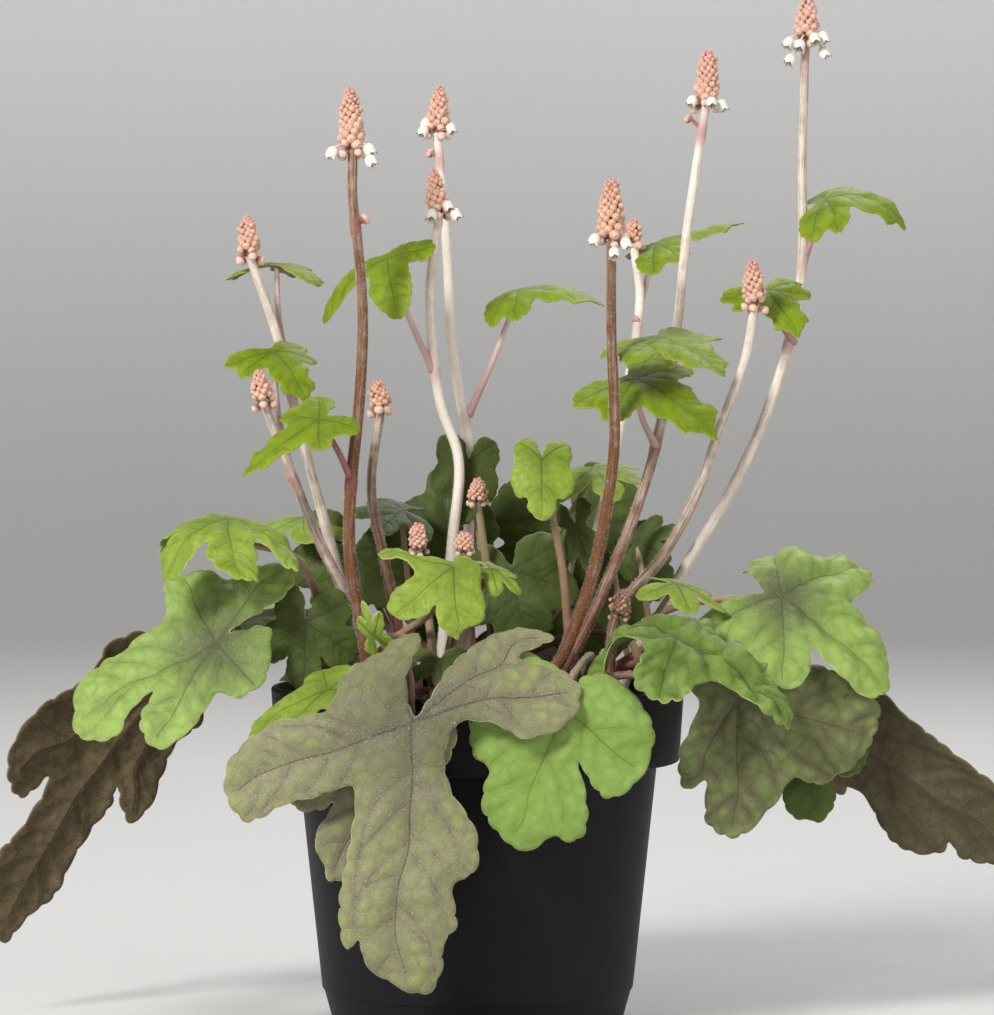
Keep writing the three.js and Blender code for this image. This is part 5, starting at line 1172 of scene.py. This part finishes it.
pile = []
HILL = [(0, 88), (5, 88), (7.3, 93), (7.5, 102), (5.6, 108), (2.5, 109.8), (0, MOUND_TOP)]
scales = lambda a, z: 0.7 * np.sin(5 * a + 0.9 * z) + 0.4 * np.sin(9 * a - 1.7 * z)
for spot in MOUNDS.values():
    crown = turned(smooth_line(HILL, fine=6), 40, spot, scales)
    crown["values"].update(tone=np.full(len(crown["points"]), 0.25), blush=0.4)
    pile.append(crown)
for start, end in (("right", "back"), ("back", "left")):
    (ax, ay), (bx, by) = MOUNDS[start], MOUNDS[end]
    pile.append(stalk([(ax, ay, 94), (bx, by, 94)], lambda t: 3, tone=0.1, blush=0.0))
for leaf in LEAVES:
    brown = leaf["finish"] in ("purple", "brown", "dark")
    made = stalk(stalk_path(leaf), lambda t: 1.5 - 0.55 * t, sides=9, step=1.5,
                 tone=0.25 if brown else 0.6, blush=lambda s: 0.75 - 0.6 * s)
    pile += [made, hairs_on_stalk(made, 7, 0.55)]
grow_piece("rootstock_fine", pile, [LEAF_STALK, HAIR], "crown")
print("surfaces in the rootstock:", len(pile))

# %% [markdown]
# ## One bud, copied
# A flower head is a spike of small round buds. They all share one form with a few dozen points, and
# numpy copies it to every place in one step, which keeps some hundreds of buds light.

# %% Buds
def bud_form():
    """A bud of length 1 along z: the radius is a bulging sine of the height with five shallow ribs."""
    around, rows = 8, 6
    v = np.linspace(0, 1, rows)[:, None]
    a = angles(around)
    bulge = 0.47 * np.sin(np.pi * np.clip(v**1.15 * 0.96 + 0.03, 0, 1)) ** 0.6
    radius = bulge * (1 + 0.05 * np.cos(5 * a))
    points = [radius * np.cos(a), radius * np.sin(a), np.broadcast_to(v, radius.shape)]
    return np.stack(points, axis=-1).reshape(-1, 3), grid_faces(rows, around)


BUD_POINTS, BUD_FACES = bud_form()


def buds_at(places, ways, sizes, tones, finish=0, blush=0.0):
    """One bud at each place, turned to its way: its own z along the way, scaled by its size."""
    ways = unit(ways)
    u = unit(np.cross(ways, [0.31, 0.22, 0.9]))
    v = np.cross(ways, u)
    local = BUD_POINTS[None] * np.asarray(sizes)[:, None, None]
    points = (np.asarray(places)[:, None] + local[..., :1] * u[:, None] + local[..., 1:2] * v[:, None]
              + local[..., 2:] * ways[:, None])
    count = len(BUD_POINTS)
    faces = BUD_FACES[None] + count * np.arange(len(ways))[:, None, None]
    return surface(points.reshape(-1, 3), faces.reshape(-1, 4), finish, tone=np.repeat(tones, count),
                   chance=np.repeat(rng.uniform(size=len(ways)), count), blush=blush,
                   reach=np.tile(BUD_POINTS[:, 2], len(ways)))


print("points of one bud:", len(BUD_POINTS))

# %% [markdown]
# ## Buds on a spiral
# Each new bud stands 137.5 degrees on from the last, the angle that packs them closely, and they get
# smaller towards the tip. A few hang from the foot of the spike, and a plain core fills it.

# %% A spike of buds
GOLDEN_ANGLE = np.radians(137.508)
LOW_BUDS = 5


def bud_cone(foot, tip, radius, blush, big=3.5, small=1.6):
    """Buds on a spiral round the line from foot to tip. The cone's radius is (1 - 0.95 t^1.7) to the
    power 0.55, and each millimetre of it gets its area divided by the area of a bud there."""
    foot, tip = np.asarray(foot, float), np.asarray(tip, float)
    axis = unit(tip - foot)
    long = np.linalg.norm(tip - foot)
    shape = lambda t: radius * (1 - 0.95 * t**1.7) ** 0.55 * np.minimum(1, 0.72 + 1.6 * t)
    width = lambda t: (big + (small - big) * t) * min(1, radius / 3.7)
    share = np.linspace(0, 1, 200)
    run = np.cumsum(2 * np.pi * shape(share) / (0.66 * width(share) ** 2)) * long / 200
    t = np.interp(np.arange(int(run[-1])) + 0.5, run, share)
    count = len(t)
    u = unit(np.cross(axis, [0, 1, 0.2]))
    v = np.cross(axis, u)
    a = np.arange(count) * GOLDEN_ANGLE + foot[0]
    out = np.cos(a)[:, None] * u + np.sin(a)[:, None] * v
    size = width(t) * rng.uniform(0.85, 1.12, count)
    lift = -0.3 + 1.2 * t
    way = unit(out + lift[:, None] * axis)
    outer = (shape(t) - 0.25 * size + 0.35 * rng.normal(size=count)).clip(0.1)
    spot = (foot + axis * (1.0 + t[:, None] * (long - 2.0)) + out * outer[:, None]
            - way * size[:, None] * 0.5)
    core = stalk([foot - axis * 0.2, foot + axis * long * 0.5, tip - axis * 1.0],
                 lambda s: radius * 0.5 * np.sqrt(max(0.02, 1 - 0.9 * s * s)) * min(1, 0.5 + 2.5 * s),
                 sides=10, step=1.5, tone=0.3, chance=0.0, blush=blush)
    hang = np.arange(LOW_BUDS) * 2.4 + foot[0]
    aside = np.cos(hang)[:, None] * u + np.sin(hang)[:, None] * v
    low = foot + aside * 0.62 * radius + axis * rng.uniform(-0.6, 1.4, (LOW_BUDS, 1))
    spiral = buds_at(spot, way, size, t, blush=blush)
    hanging = buds_at(low, aside - 1.1 * axis, big * rng.uniform(0.75, 1.0, LOW_BUDS),
                      np.full(LOW_BUDS, -0.4), blush=blush)
    return [core, spiral, hanging]


print("turn from bud to bud in radians:", GOLDEN_ANGLE.round(3))

# %% [markdown]
# ## Open bells
# The lowest buds open to small white bells with five pointed lobes. The profile goes out along the wall,
# over the lip and back inside, so the bell has a thickness. It hangs on a short twig of its own.

# %% Bells
BELL_PROFILE = np.array([
    (0.02, 0.0), (0.8, 0.1), (1.5, 0.65), (1.85, 1.5), (1.9, 2.4), (1.8, 3.2), (1.98, 4.1), (1.9, 4.14),
    (1.66, 3.2), (1.72, 2.4), (1.66, 1.55), (1.3, 0.85), (0.7, 0.4), (0.02, 0.35)])
BELL_LONG = 4.1


def bell(foot, at, size, axis):
    """An open bell hanging from its top: the wall goes out along the profile, turns over the lip and
    comes back inside. Five pointed lobes lengthen it at the mouth."""
    foot, at = np.asarray(foot, float), np.asarray(at, float)
    flat = unit((at - foot) * [1, 1, 0])
    way = unit(0.45 * flat - 0.9 * axis)
    around = 20
    a = angles(around)
    lobe = (1 - np.abs((a * 5 / (2 * np.pi)) % 1 - 0.5) * 2) ** 0.8
    mouth = np.clip((BELL_PROFILE[:, 1] - 2.0) / 2.1, 0, 1)[:, None] ** 1.3
    r = BELL_PROFILE[:, :1] * (1 + 0.1 * mouth * (lobe - 0.3))
    run = BELL_PROFILE[:, 1:] + mouth * (1.0 * lobe - 0.75)
    u = unit(np.cross(way, [0.2, 1, 0.1]))
    v = np.cross(way, u)
    points = (at + size * run[..., None] * way
              + size * r[..., None] * (np.cos(a)[:, None] * u + np.sin(a)[:, None] * v))
    made = surface(points.reshape(-1, 3), grid_faces(len(BELL_PROFILE), around), 2,
                   tone=np.repeat(BELL_PROFILE[:, 1] / BELL_LONG, around), chance=rng.uniform())
    root = foot + 1.5 * axis + 0.6 * flat
    twig = stalk([root, (root + at) / 2 + 0.5 * axis, at + 0.15 * way], lambda t: 0.36, sides=6, step=0.7,
                 tone=0.75, blush=0.4, chance=0.5)
    twig["finish"] = 3
    pins = []
    for turn in angles(3):
        lean = way + 0.2 * (np.cos(turn) * u + np.sin(turn) * v)
        pins.append(stalk([at + 0.5 * way, at + lean * size * BELL_LONG], lambda t: 0.1 + 0.1 * (t > 0.85),
                          sides=5, step=0.7, tone=0.0, chance=1.0))
    return [made, twig] + pins


print("a bell is", BELL_LONG, "mm long and", 2 * BELL_PROFILE[:, 0].max(), "mm wide")

# %% [markdown]
# ## Colours of the flowers
# One finish serves all buds: the height on the spike, the height on the bud, a value for each bud and one
# for the whole head mix peach, pink, and painted shade that darkens each bud's foot where the buds crowd.

# %% Bud and bell finishes
def bud_finish():
    """Peach buds with painted shade at their feet, between them; the lowest are paler and the tip pinker.
    """
    f = Finish("flower buds", Roughness=0.5, Specular_IOR_Level=0.25, Sheen_Weight=0.1)
    height, luck, end = f.value("tone"), f.value("chance"), f.value("reach")
    grain = f.noise(f.object_place(), 1300.0, 3.0)
    color = f.mix(luck * 0.7 + 0.3 * grain, (0.55, 0.28, 0.17), (0.74, 0.46, 0.31))
    color = f.mix(f.value("blush") * 0.8, color, (0.72, 0.42, 0.36))
    color = f.mix((1 - height.between(-0.3, 0.3)) * 0.7, color, (0.78, 0.58, 0.46))
    color = f.mix(height.between(0.6, 1.0) * 0.75, color, (0.62, 0.26, 0.24))
    # Painted shade: each bud darkens to red-brown towards its foot, in the crevices between the buds.
    color = f.mix((1 - end.between(0.25, 0.6)) * 0.85, color, (0.26, 0.09, 0.055))
    color = f.mix(end.between(0.8, 1.0) * 0.5, color, (0.8, 0.6, 0.48))
    return f.finish(color, 0.45 + 0.2 * grain, grain, 0.0002, 0.4)


def bell_finish():
    """White with a trace of pink at the base of the bell."""
    f = Finish("white bells", Roughness=0.45, Specular_IOR_Level=0.35, Sheen_Weight=0.2)
    grain = f.noise(f.object_place(), 1200.0, 3.0)
    color = f.mix(1 - f.value("tone").between(0.0, 0.45), (0.8, 0.78, 0.7), (0.78, 0.68, 0.56))
    color = f.mix(grain.between(0.4, 0.7) * 0.3, color, (0.66, 0.6, 0.48))
    return f.finish(color, 0.42 + 0.15 * grain, grain, 0.00015, 0.3)


BUD, BELL = bud_finish(), bell_finish()
print("flower finishes:", BUD.name, "and", BELL.name)

# %% [markdown]
# ## The flower heads
# A longer head is a little wider. The heads differ in how pink they are, and only some have open bells.

# %% Heads of buds
PINK = {"k": 0.75, "i": 0.5, "e": 0.4, "j": 0.3, "a": 0.35, "f": 0.4, "c": 0.3}
total = 0
for stem in STEMS:
    top, tip = np.array(stem["top"], float), np.array(stem["tip"], float)
    axis = unit(tip - top)
    foot = top + axis * 0.2
    wide = 2.1 + 0.085 * np.linalg.norm(tip - foot)
    pile = bud_cone(foot, tip, wide, blush=PINK.get(stem["name"][-1], 0.15))
    total += len(pile[1]["points"]) // len(BUD_POINTS)
    for place in stem.get("bells", []):
        pile += bell(foot, place, rng.uniform(0.88, 1.0), axis)
    head = stem["name"].replace("stem", "head")
    grow_piece(head + "_fine", pile, [BUD, HAIR, BELL, STEM], head)
print("buds:", total, "bells:", sum(len(stem.get("bells", [])) for stem in STEMS))

# %% [markdown]
# ## Flower stems
# The stems are hairy all round, a little swollen and pink where a leaf leaves them, and differ in
# colour: some brown from top to bottom, some cream, most browner near the soil.

# %% Stems with the stalks of their leaves
TONES = {"a": (0.5, 0.6), "b": (0.3, 0.5), "c": (0.0, 0.22), "d": (0.0, 0.35), "e": (1.3, 1.0),
         "f": (1.1, 0.8), "g": (0.0, 0.17), "h": (0.7, 0.85), "i": (0.0, 0.9), "j": (0.1, 0.75),
         "k": (0.8, 0.5)}
FLUSH = {"d": 0.6, "b": 0.5, "a": 0.35, "j": 0.4, "i": 0.35, "f": 0.3, "c": 0.25, "g": 0.25}
BURIED, STEM_STEP = 14, 1.2


def flower_stem(stem):
    """The stem with its leaf stalks and small buds. It starts 14 mm below its first point, and tapers
    from 1.9 mm at the soil to 1.35 mm under the head, times its own thickness, with a bulge and a blush
    at every leaf's node."""
    x, y, z = stem["path"][0]
    path = [(x, y, z - BURIED), *stem["path"], stem["top"]]
    letter, thick = stem["name"][-1], stem.get("thick", 1)
    low, high = TONES[letter]
    line = even(smooth_line(path), STEM_STEP)
    nodes = [leaf["node"] for leaf in stem["leaves"]] + [b["start"] for b in stem.get("buds", [])]
    shares = [np.argmin(np.linalg.norm(line - np.array(n), axis=1)) / len(line) for n in nodes]
    long = len(line) * STEM_STEP
    at_nodes = lambda t, width: sum(bump((t - s) * long, width) for s in shares)
    swollen = lambda t: thick * (1.9 - 0.55 * t) * (1 + 0.14 * at_nodes(t, 2.6))
    pink = lambda t: (FLUSH.get(letter, 0.1) * (1 - t) + 0.5 * at_nodes(t, 4)
                      + PINK.get(letter, 0.2) * bump((1 - t) * long, 14))
    made = stalk(path, swollen, sides=14, tone=lambda t: low + (high - low) * t**1.2, blush=pink)
    pile = [made, hairs_on_stalk(made, 19, 0.85, low=BURIED / long)]
    for leaf in stem["leaves"]:
        twig = stalk([leaf["node"], leaf["via"], nudged(leaf, -0.7)["at"]],
                     lambda t: 1.1 - 0.3 * t + 0.5 * np.exp(-t * 8), sides=9, step=1.2,
                     tone=min(high, 0.8), blush=lambda t: 0.8 - 0.45 * t)
        pile += [twig, hairs_on_stalk(twig, 10, 0.5)]
    for small in stem.get("buds", []):
        start, at = np.array(small["start"]), np.array(small["at"])
        pile.append(stalk([start, at], lambda t: 0.6, sides=6, step=0.8, tone=0.4, blush=0.8))
        way = unit(at - start)
        aside = unit(np.cross(way, [[0, 0, 1], [1, 0, 1], [0, 1, 1], [-1, 0.4, 1]])) * 0.8
        pile.append(buds_at(at - way * 1.2 + aside, way + 0.4 * aside, np.full(4, 2.3),
                            np.full(4, 0.05), 2))
    return pile


for stem in STEMS:
    stem["leaves"] = [nudged(leaf, NUDGE.get(stem["name"], 0)) for leaf in stem["leaves"]]
    slot = "stem_brown" if stem["name"] in BROWN_STEMS else "stem_cream"
    grow_piece(stem["name"] + "_fine", flower_stem(stem), [STEM, HAIR, BUD], stem["name"])
    for i, leaf in enumerate(stem["leaves"]):
        named = stem["name"].replace("stem", "stem_leaf")
        if len(stem["leaves"]) > 1:
            named += f"_{i + 1}"
        pile = blade(leaf, OUTLINES[leaf.get("outline", "three_lobed")], depth=0.85, pitch=4.2,
                     branch=4.4, step=0.75, quilt=0.32, pleat=0.7, crease=0.45, thick=0.45)
        grow_piece(named + "_fine", pile, [LEAF["stem leaf"], HAIR], named)
print("stems:", len(STEMS))

# %% [markdown]
# ## Young leaves among the stems
# Small leaves and young flower stalks come up between the stems. Each group shares one foot in the
# compost, so each group is one object. Leaves in the shade of others get dark greens with painted shade.

# %% Young leaves
# Young leaves, by their number in the group, that get dark greens with painted shade.
PAINTED_SHADE_LEAVES = {"young_leaves_left": (0, 2), "young_leaves_front": (1,), "young_leaves_middle": (0, 2, 3),
         "young_leaves_right": (0, 2)}

for group in YOUNG_GROUPS:
    x, y = group["foot"]
    pile = [stalk([(x, y, 90), (x, y, 106)], lambda t: 2.4, tone=0.2, blush=0.3)]
    for n, leaf in enumerate(group["leaves"]):
        made = stalk([(x, y, 102), leaf["via"], nudged(leaf, -0.7)["at"]], lambda t: 1.3 - 0.5 * t, sides=9,
                     tone=lambda s: 0.35 + 0.4 * s, blush=lambda s: 0.6 - 0.4 * s)
        pile += [made, hairs_on_stalk(made, 10, 0.5)]
        parts = blade(leaf, OUTLINES[leaf.get("outline", "young")], depth=0.55, pitch=3.8, branch=4.2,
                      step=0.7, quilt=0.3, pleat=0.6, crease=0.4, thick=0.45)
        # Finish 4 is the dark green with painted shade.
        parts[0]["finish"] = 4 if n in PAINTED_SHADE_LEAVES[group["name"]] else 2
        pile += parts
    for young in group.get("heads", []):
        made = stalk([(x, y, 102), young["via"], young["at"]], lambda t: 1.5 - 0.4 * t, sides=10,
                     tone=lambda s: 0.4 + 0.4 * s, blush=0.3)
        cone = bud_cone(young["at"], young["tip"], 2.9, blush=0.2, big=2.5, small=1.9)
        for part in cone:
            part["finish"] = 3
        pile += [made, hairs_on_stalk(made, 11, 0.55)] + cone
    grow_piece(group["name"] + "_fine", pile, [LEAF_STALK, HAIR, LEAF["lime"], BUD, LEAF["shade"]],
               group["name"])
print("groups:", len(YOUNG_GROUPS))

# %% [markdown]
# ## Compost
# Potting compost is dark, coarse and loose. A low dome with small waves fills the pot, and about two
# thousand crumbs lie on it. A crumb is a dented ball of twenty faces. The crumbs are sunk to half their
# size, so none of them floats.

# %% Compost with crumbs
SOIL_EDGE, SOIL_SIDES, CRUMBS = 62.2, 96, 2000


def soil_height(x, y):
    """5 mm higher in the middle than at the edge, with uneven waves."""
    share = np.hypot(x, y) / SOIL_EDGE
    return (97 + 5 * (1 - share**2) + 0.8 * np.sin(0.31 * x + 1) * np.sin(0.27 * y)
            + 0.5 * np.sin(0.8 * x - 0.5 * y) + 0.3 * np.sin(1.7 * x + 1.3 * y))


def fill():
    """The pot's inside below, and the waved dome on top, as one closed turned shape."""
    side = [(0, 2.6), (43.8, 2.6), (46.5, 10), (54.6, 81.5), (54.6, 83.5), (61.5, 83.6),
            (SOIL_EDGE, 94.5)]
    dome = [(r, 97) for r in np.linspace(SOIL_EDGE, 0, 42)]
    made = turned(side + dome, SOIL_SIDES)
    points = made["points"]
    top = np.arange(len(points)) >= SOIL_SIDES * len(side)
    points[top, 2] = soil_height(points[top, 0], points[top, 1])
    return made


def crumbs(count):
    """A dented twenty-faced ball at each place: the same twelve corners, stretched and turned."""
    g = (1 + 5**0.5) / 2
    ball = unit([(-1, g, 0), (1, g, 0), (-1, -g, 0), (1, -g, 0), (0, -1, g), (0, 1, g), (0, -1, -g),
                 (0, 1, -g), (g, 0, -1), (g, 0, 1), (-g, 0, -1), (-g, 0, 1)])
    sides = np.array([(0, 11, 5), (0, 5, 1), (0, 1, 7), (0, 7, 10), (0, 10, 11), (1, 5, 9), (5, 11, 4),
                      (11, 10, 2), (10, 7, 6), (7, 1, 8), (3, 9, 4), (3, 4, 2), (3, 2, 6), (3, 6, 8),
                      (3, 8, 9), (4, 9, 5), (2, 4, 11), (6, 2, 10), (8, 6, 7), (9, 8, 1)])
    r = 60 * np.sqrt(rng.uniform(size=count))
    a = rng.uniform(0, 2 * np.pi, count)
    x, y = r * np.cos(a), r * np.sin(a)
    size = 0.5 + 1.5 * rng.uniform(size=count) ** 3
    stretch = rng.uniform(0.6, 1.3, (count, 1, 3)) * size[:, None, None]
    dents = 1 + 0.22 * rng.normal(size=(count, 12, 1))
    turn = np.linalg.qr(rng.normal(size=(count, 3, 3)))[0]
    turn *= np.sign(np.linalg.det(turn))[:, None, None]
    points = (ball[None] * stretch * dents) @ turn + np.stack([x, y, soil_height(x, y)], 1)[:, None]
    faces = sides[None] + 12 * np.arange(count)[:, None, None]
    return surface(points.reshape(-1, 3), faces.reshape(-1, 3), 1,
                   chance=np.repeat(rng.uniform(size=count), 12))


def compost_finish(name, spread):
    """Dark brown peat with lighter fibres."""
    f = Finish(name, Roughness=0.9, Specular_IOR_Level=0.2)
    where = f.object_place()
    lumps, fine = f.noise(where, 330.0, 5.0, 0.65), f.noise(where, 1400.0, 4.0, 0.7)
    color = f.mix(lumps.between(0.3, 0.7), (0.022, 0.014, 0.009), (0.07, 0.044, 0.027))
    color = f.mix(f.value("chance").between(0.75, 1.0) * spread, color, (0.16, 0.1, 0.055))
    color = f.mix(fine.between(0.58, 0.72) * 0.5, color, (0.12, 0.075, 0.045))
    return f.finish(color, 0.8 + 0.15 * fine, lumps + 0.6 * fine, 0.0012, 0.9)


grow_piece("compost_fine", [fill(), crumbs(CRUMBS)],
           [compost_finish("compost", 0.0), compost_finish("compost crumbs", 0.9)], "soil")
print("crumbs:", CRUMBS)

# %% [markdown]
# ## Profiles with soft edges
# The light on an edge shows that it is moulded and not cut, so every corner of the pot's profile gets a
# small round. Long straight parts get points in between, so that no face is a thin sliver.

# %% Rounds and spacing
def rounded(corners, radius):
    """The profile with each corner replaced by a short curve of four steps, which leaves one side and
    meets the other without a bend."""
    made = [corners[0]]
    for before, at, after in zip(corners[:-2], corners[1:-1], corners[2:]):
        before, at, after = map(np.array, (before, at, after))
        room = min(radius, 0.42 * np.linalg.norm(at - before), 0.42 * np.linalg.norm(after - at))
        start, end = at + room * unit(before - at), at + room * unit(after - at)
        t = np.linspace(0, 1, 5)[:, None]
        made += list((1 - t) ** 2 * start + 2 * t * (1 - t) * at + t**2 * end)
    return made + [corners[-1]]


def spaced(profile, widest):
    """More points along the long straight parts, so that the faces stay well shaped."""
    profile = np.array(profile, float)
    made = [profile[:1]]
    for a, b in zip(profile[:-1], profile[1:]):
        n = max(1, int(np.ceil(np.linalg.norm(b - a) / widest)))
        made.append(a + (b - a) * (np.arange(1, n + 1) / n)[:, None])
    return np.vstack(made)


print("points of a right angle with its round:", len(rounded([(0, 0), (5, 0), (5, 5)], 0.7)))

# %% [markdown]
# ## The pot
# A thin-walled nursery pot, moulded in one shot: a rim that stands proud, a plain sloping body, a step
# near the foot, and drain holes. It is one turned profile. The four holes are cut by a boolean, which is
# applied before the piece is kept.

# %% Nursery pot
EDGE_ROUND, POT_SIDES = 0.7, 144
HOLE_RING, HOLE_RADIUS = 32, 4
POT = [(0, 0), (45.8, 0), (46.2, 1.6), (48.5, 10), (49.0, 10.2), (56.6, 81.5), (63.5, 81.5), (65, 104.2),
       (64.4, 105), (63.4, 105), (61.9, 83.1), (55.0, 83.1), (46.9, 10), (44.2, 2.2), (0, 2.2)]
wall = turned(spaced(rounded(POT, EDGE_ROUND), 6), POT_SIDES)
holes = []
for degrees in (45, 135, 225, 315):
    middle = HOLE_RING * np.cos(np.radians(degrees)), HOLE_RING * np.sin(np.radians(degrees))
    holes.append(turned([(0, -3), (HOLE_RADIUS, -3), (HOLE_RADIUS, 6), (0, 6)], 28, middle))


def plain_object(name, surfaces):
    """An object of turned shapes without a finish: the pot before it is cut, and what cuts it."""
    mesh = bpy.data.meshes.new(name)
    points, faces, count = [], [], 0
    for s in surfaces:
        points.append(s["points"] * MM)
        faces += (s["faces"] + count).tolist()
        count += len(s["points"])
    mesh.from_pydata(np.vstack(points).tolist(), [], faces)
    return add_object(name, mesh)


def pot_finish():
    """Near-black moulded plastic: faint flow lines round it, a fine grain, and a few pale flecks in
    patches.
    """
    f = Finish("pot plastic", Roughness=0.45, Specular_IOR_Level=0.1)
    where = f.object_place()
    grain = f.noise(where, 2600.0, 3.0, 0.6)
    cloud = f.noise(where, 28.0, 4.0, 0.6)
    lines = f.noise(f.stretched(where, (6, 6, 900)), 1.0, 2.0)
    color = f.mix(cloud, (0.0095, 0.0097, 0.0104), (0.0155, 0.0158, 0.0166))
    color = f.mix(cloud.between(0.5, 0.75) * grain.between(0.4, 0.65) * 0.25, color, (0.035, 0.033, 0.03))
    return f.finish(color, 0.4 + 0.12 * cloud + 0.1 * grain, 0.8 * grain + 0.4 * lines, 0.00012, 0.35)


body, cutter = plain_object("pot_fine", [wall]), plain_object("holes", holes)
cut = body.modifiers.new("drain holes", "BOOLEAN")
cut.operation, cut.object, cut.solver = "DIFFERENCE", cutter, "EXACT"
bpy.context.view_layer.update()
done = bpy.data.meshes.new_from_object(body.evaluated_get(bpy.context.evaluated_depsgraph_get()))
body.modifiers.clear()
body.data = done
bpy.data.objects.remove(cutter)
done.materials.clear()
done.materials.append(pot_finish())
done.polygons.foreach_set("use_smooth", np.ones(len(done.polygons), bool))
done.set_sharp_from_angle(angle=np.radians(40))
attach(body, "root")
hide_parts("pot")
print("pot faces:", len(done.polygons))

# %% [markdown]
# ## The floor
# A pale bowl that curves up all round gives a plain ground without a horizon, from every side. It glows
# a little towards the top, so the far wall stays as pale as the floor.

# %% Floor
def bowl_floor():
    """A flat disc that bends up through a quarter circle into a round wall, seen from inside."""
    a = np.linspace(0, np.pi / 2, 20)
    profile = [(r, 0.0) for r in (0, 0.3, 0.8, 1.4, 2.0)]
    profile += list(zip(2.2 + 0.8 * np.sin(a), 0.8 - 0.8 * np.cos(a))) + [(3.0, 1.4), (3.0, 2.4)]
    bowl = turned(profile, 96)
    mesh = bpy.data.meshes.new("floor")
    mesh.from_pydata(bowl["points"].tolist(), [], bowl["faces"][:, ::-1].tolist())
    mesh.polygons.foreach_set("use_smooth", np.ones(len(mesh.polygons), bool))
    f = Finish("pale floor", Roughness=0.8, Specular_IOR_Level=0.2, Emission_Strength=0.28)
    height = Amount(f, f.node("ShaderNodeSeparateXYZ", {}, {0: f.object_place()}).outputs["Z"])
    f.put(f.shader.inputs["Emission Color"], f.mix(height.between(0.0, 0.9), (0, 0, 0), (1, 1, 1)))
    cloud = f.noise(f.object_place(), 3.0, 2.0)
    mesh.materials.append(f.finish(f.mix(cloud, (0.66, 0.655, 0.64), (0.7, 0.695, 0.68))))
    made = add_object("floor", mesh)
    return len(mesh.polygons)


print("floor faces:", bowl_floor())

# %% [markdown]
# ## Lights and camera
# Large round lights stand in for a studio's soft boxes: the main one high on the left in front, a weaker
# one on the right that draws the soft streak on the dark pot, and one from behind that lights the hairs
# along the edges. The camera looks almost level from 1.25 m away with a long lens, as in the photo.

# %% Lights and camera
def soft_light(name, at, aim, size, power):
    """A round area light of the given size in metres and power in watts, turned to what it lights."""
    light = bpy.data.lights.new(name, "AREA")
    light.shape, light.size, light.energy = "DISK", size, power
    made = add_object(name, light)
    made.location = at
    way = np.array(aim, float) - np.array(at, float)
    made.rotation_euler = Vector(way).to_track_quat("-Z", "Y").to_euler()


soft_light("main", (-0.8, -1.15, 1.1), (0, 0, 0.15), 0.45, 27)
soft_light("side", (1.1, -0.8, 0.6), (0, 0, 0.12), 0.6, 4)
soft_light("behind", (0.3, 1.0, 1.3), (0, 0, 0.2), 0.8, 10)

world = bpy.data.worlds.new("studio")
world.use_nodes = True
sky = world.node_tree.nodes["Background"].inputs
sky["Color"].default_value = (0.96, 0.98, 1.0, 1)
sky["Strength"].default_value = 0.18
bpy.context.scene.world = world
bpy.context.scene.view_settings.view_transform = "Standard"

LOOK_DOWN = 0.0232
lens = bpy.data.cameras.new("camera")
lens.lens, lens.sensor_width, lens.clip_start, lens.clip_end = 140.84, 36, 0.05, 20
camera = add_object("camera", lens)
camera.location = (0.0061, -1.25, 0.19)
camera.rotation_euler = (np.pi / 2 - LOOK_DOWN, 0, 0)
bpy.context.scene.camera = camera
print("camera looks from", tuple(camera.location))

# %% [markdown]
# ## Past the packed box
# The finished object may stand only a little outside the packed model's box, for hairs and teeth.
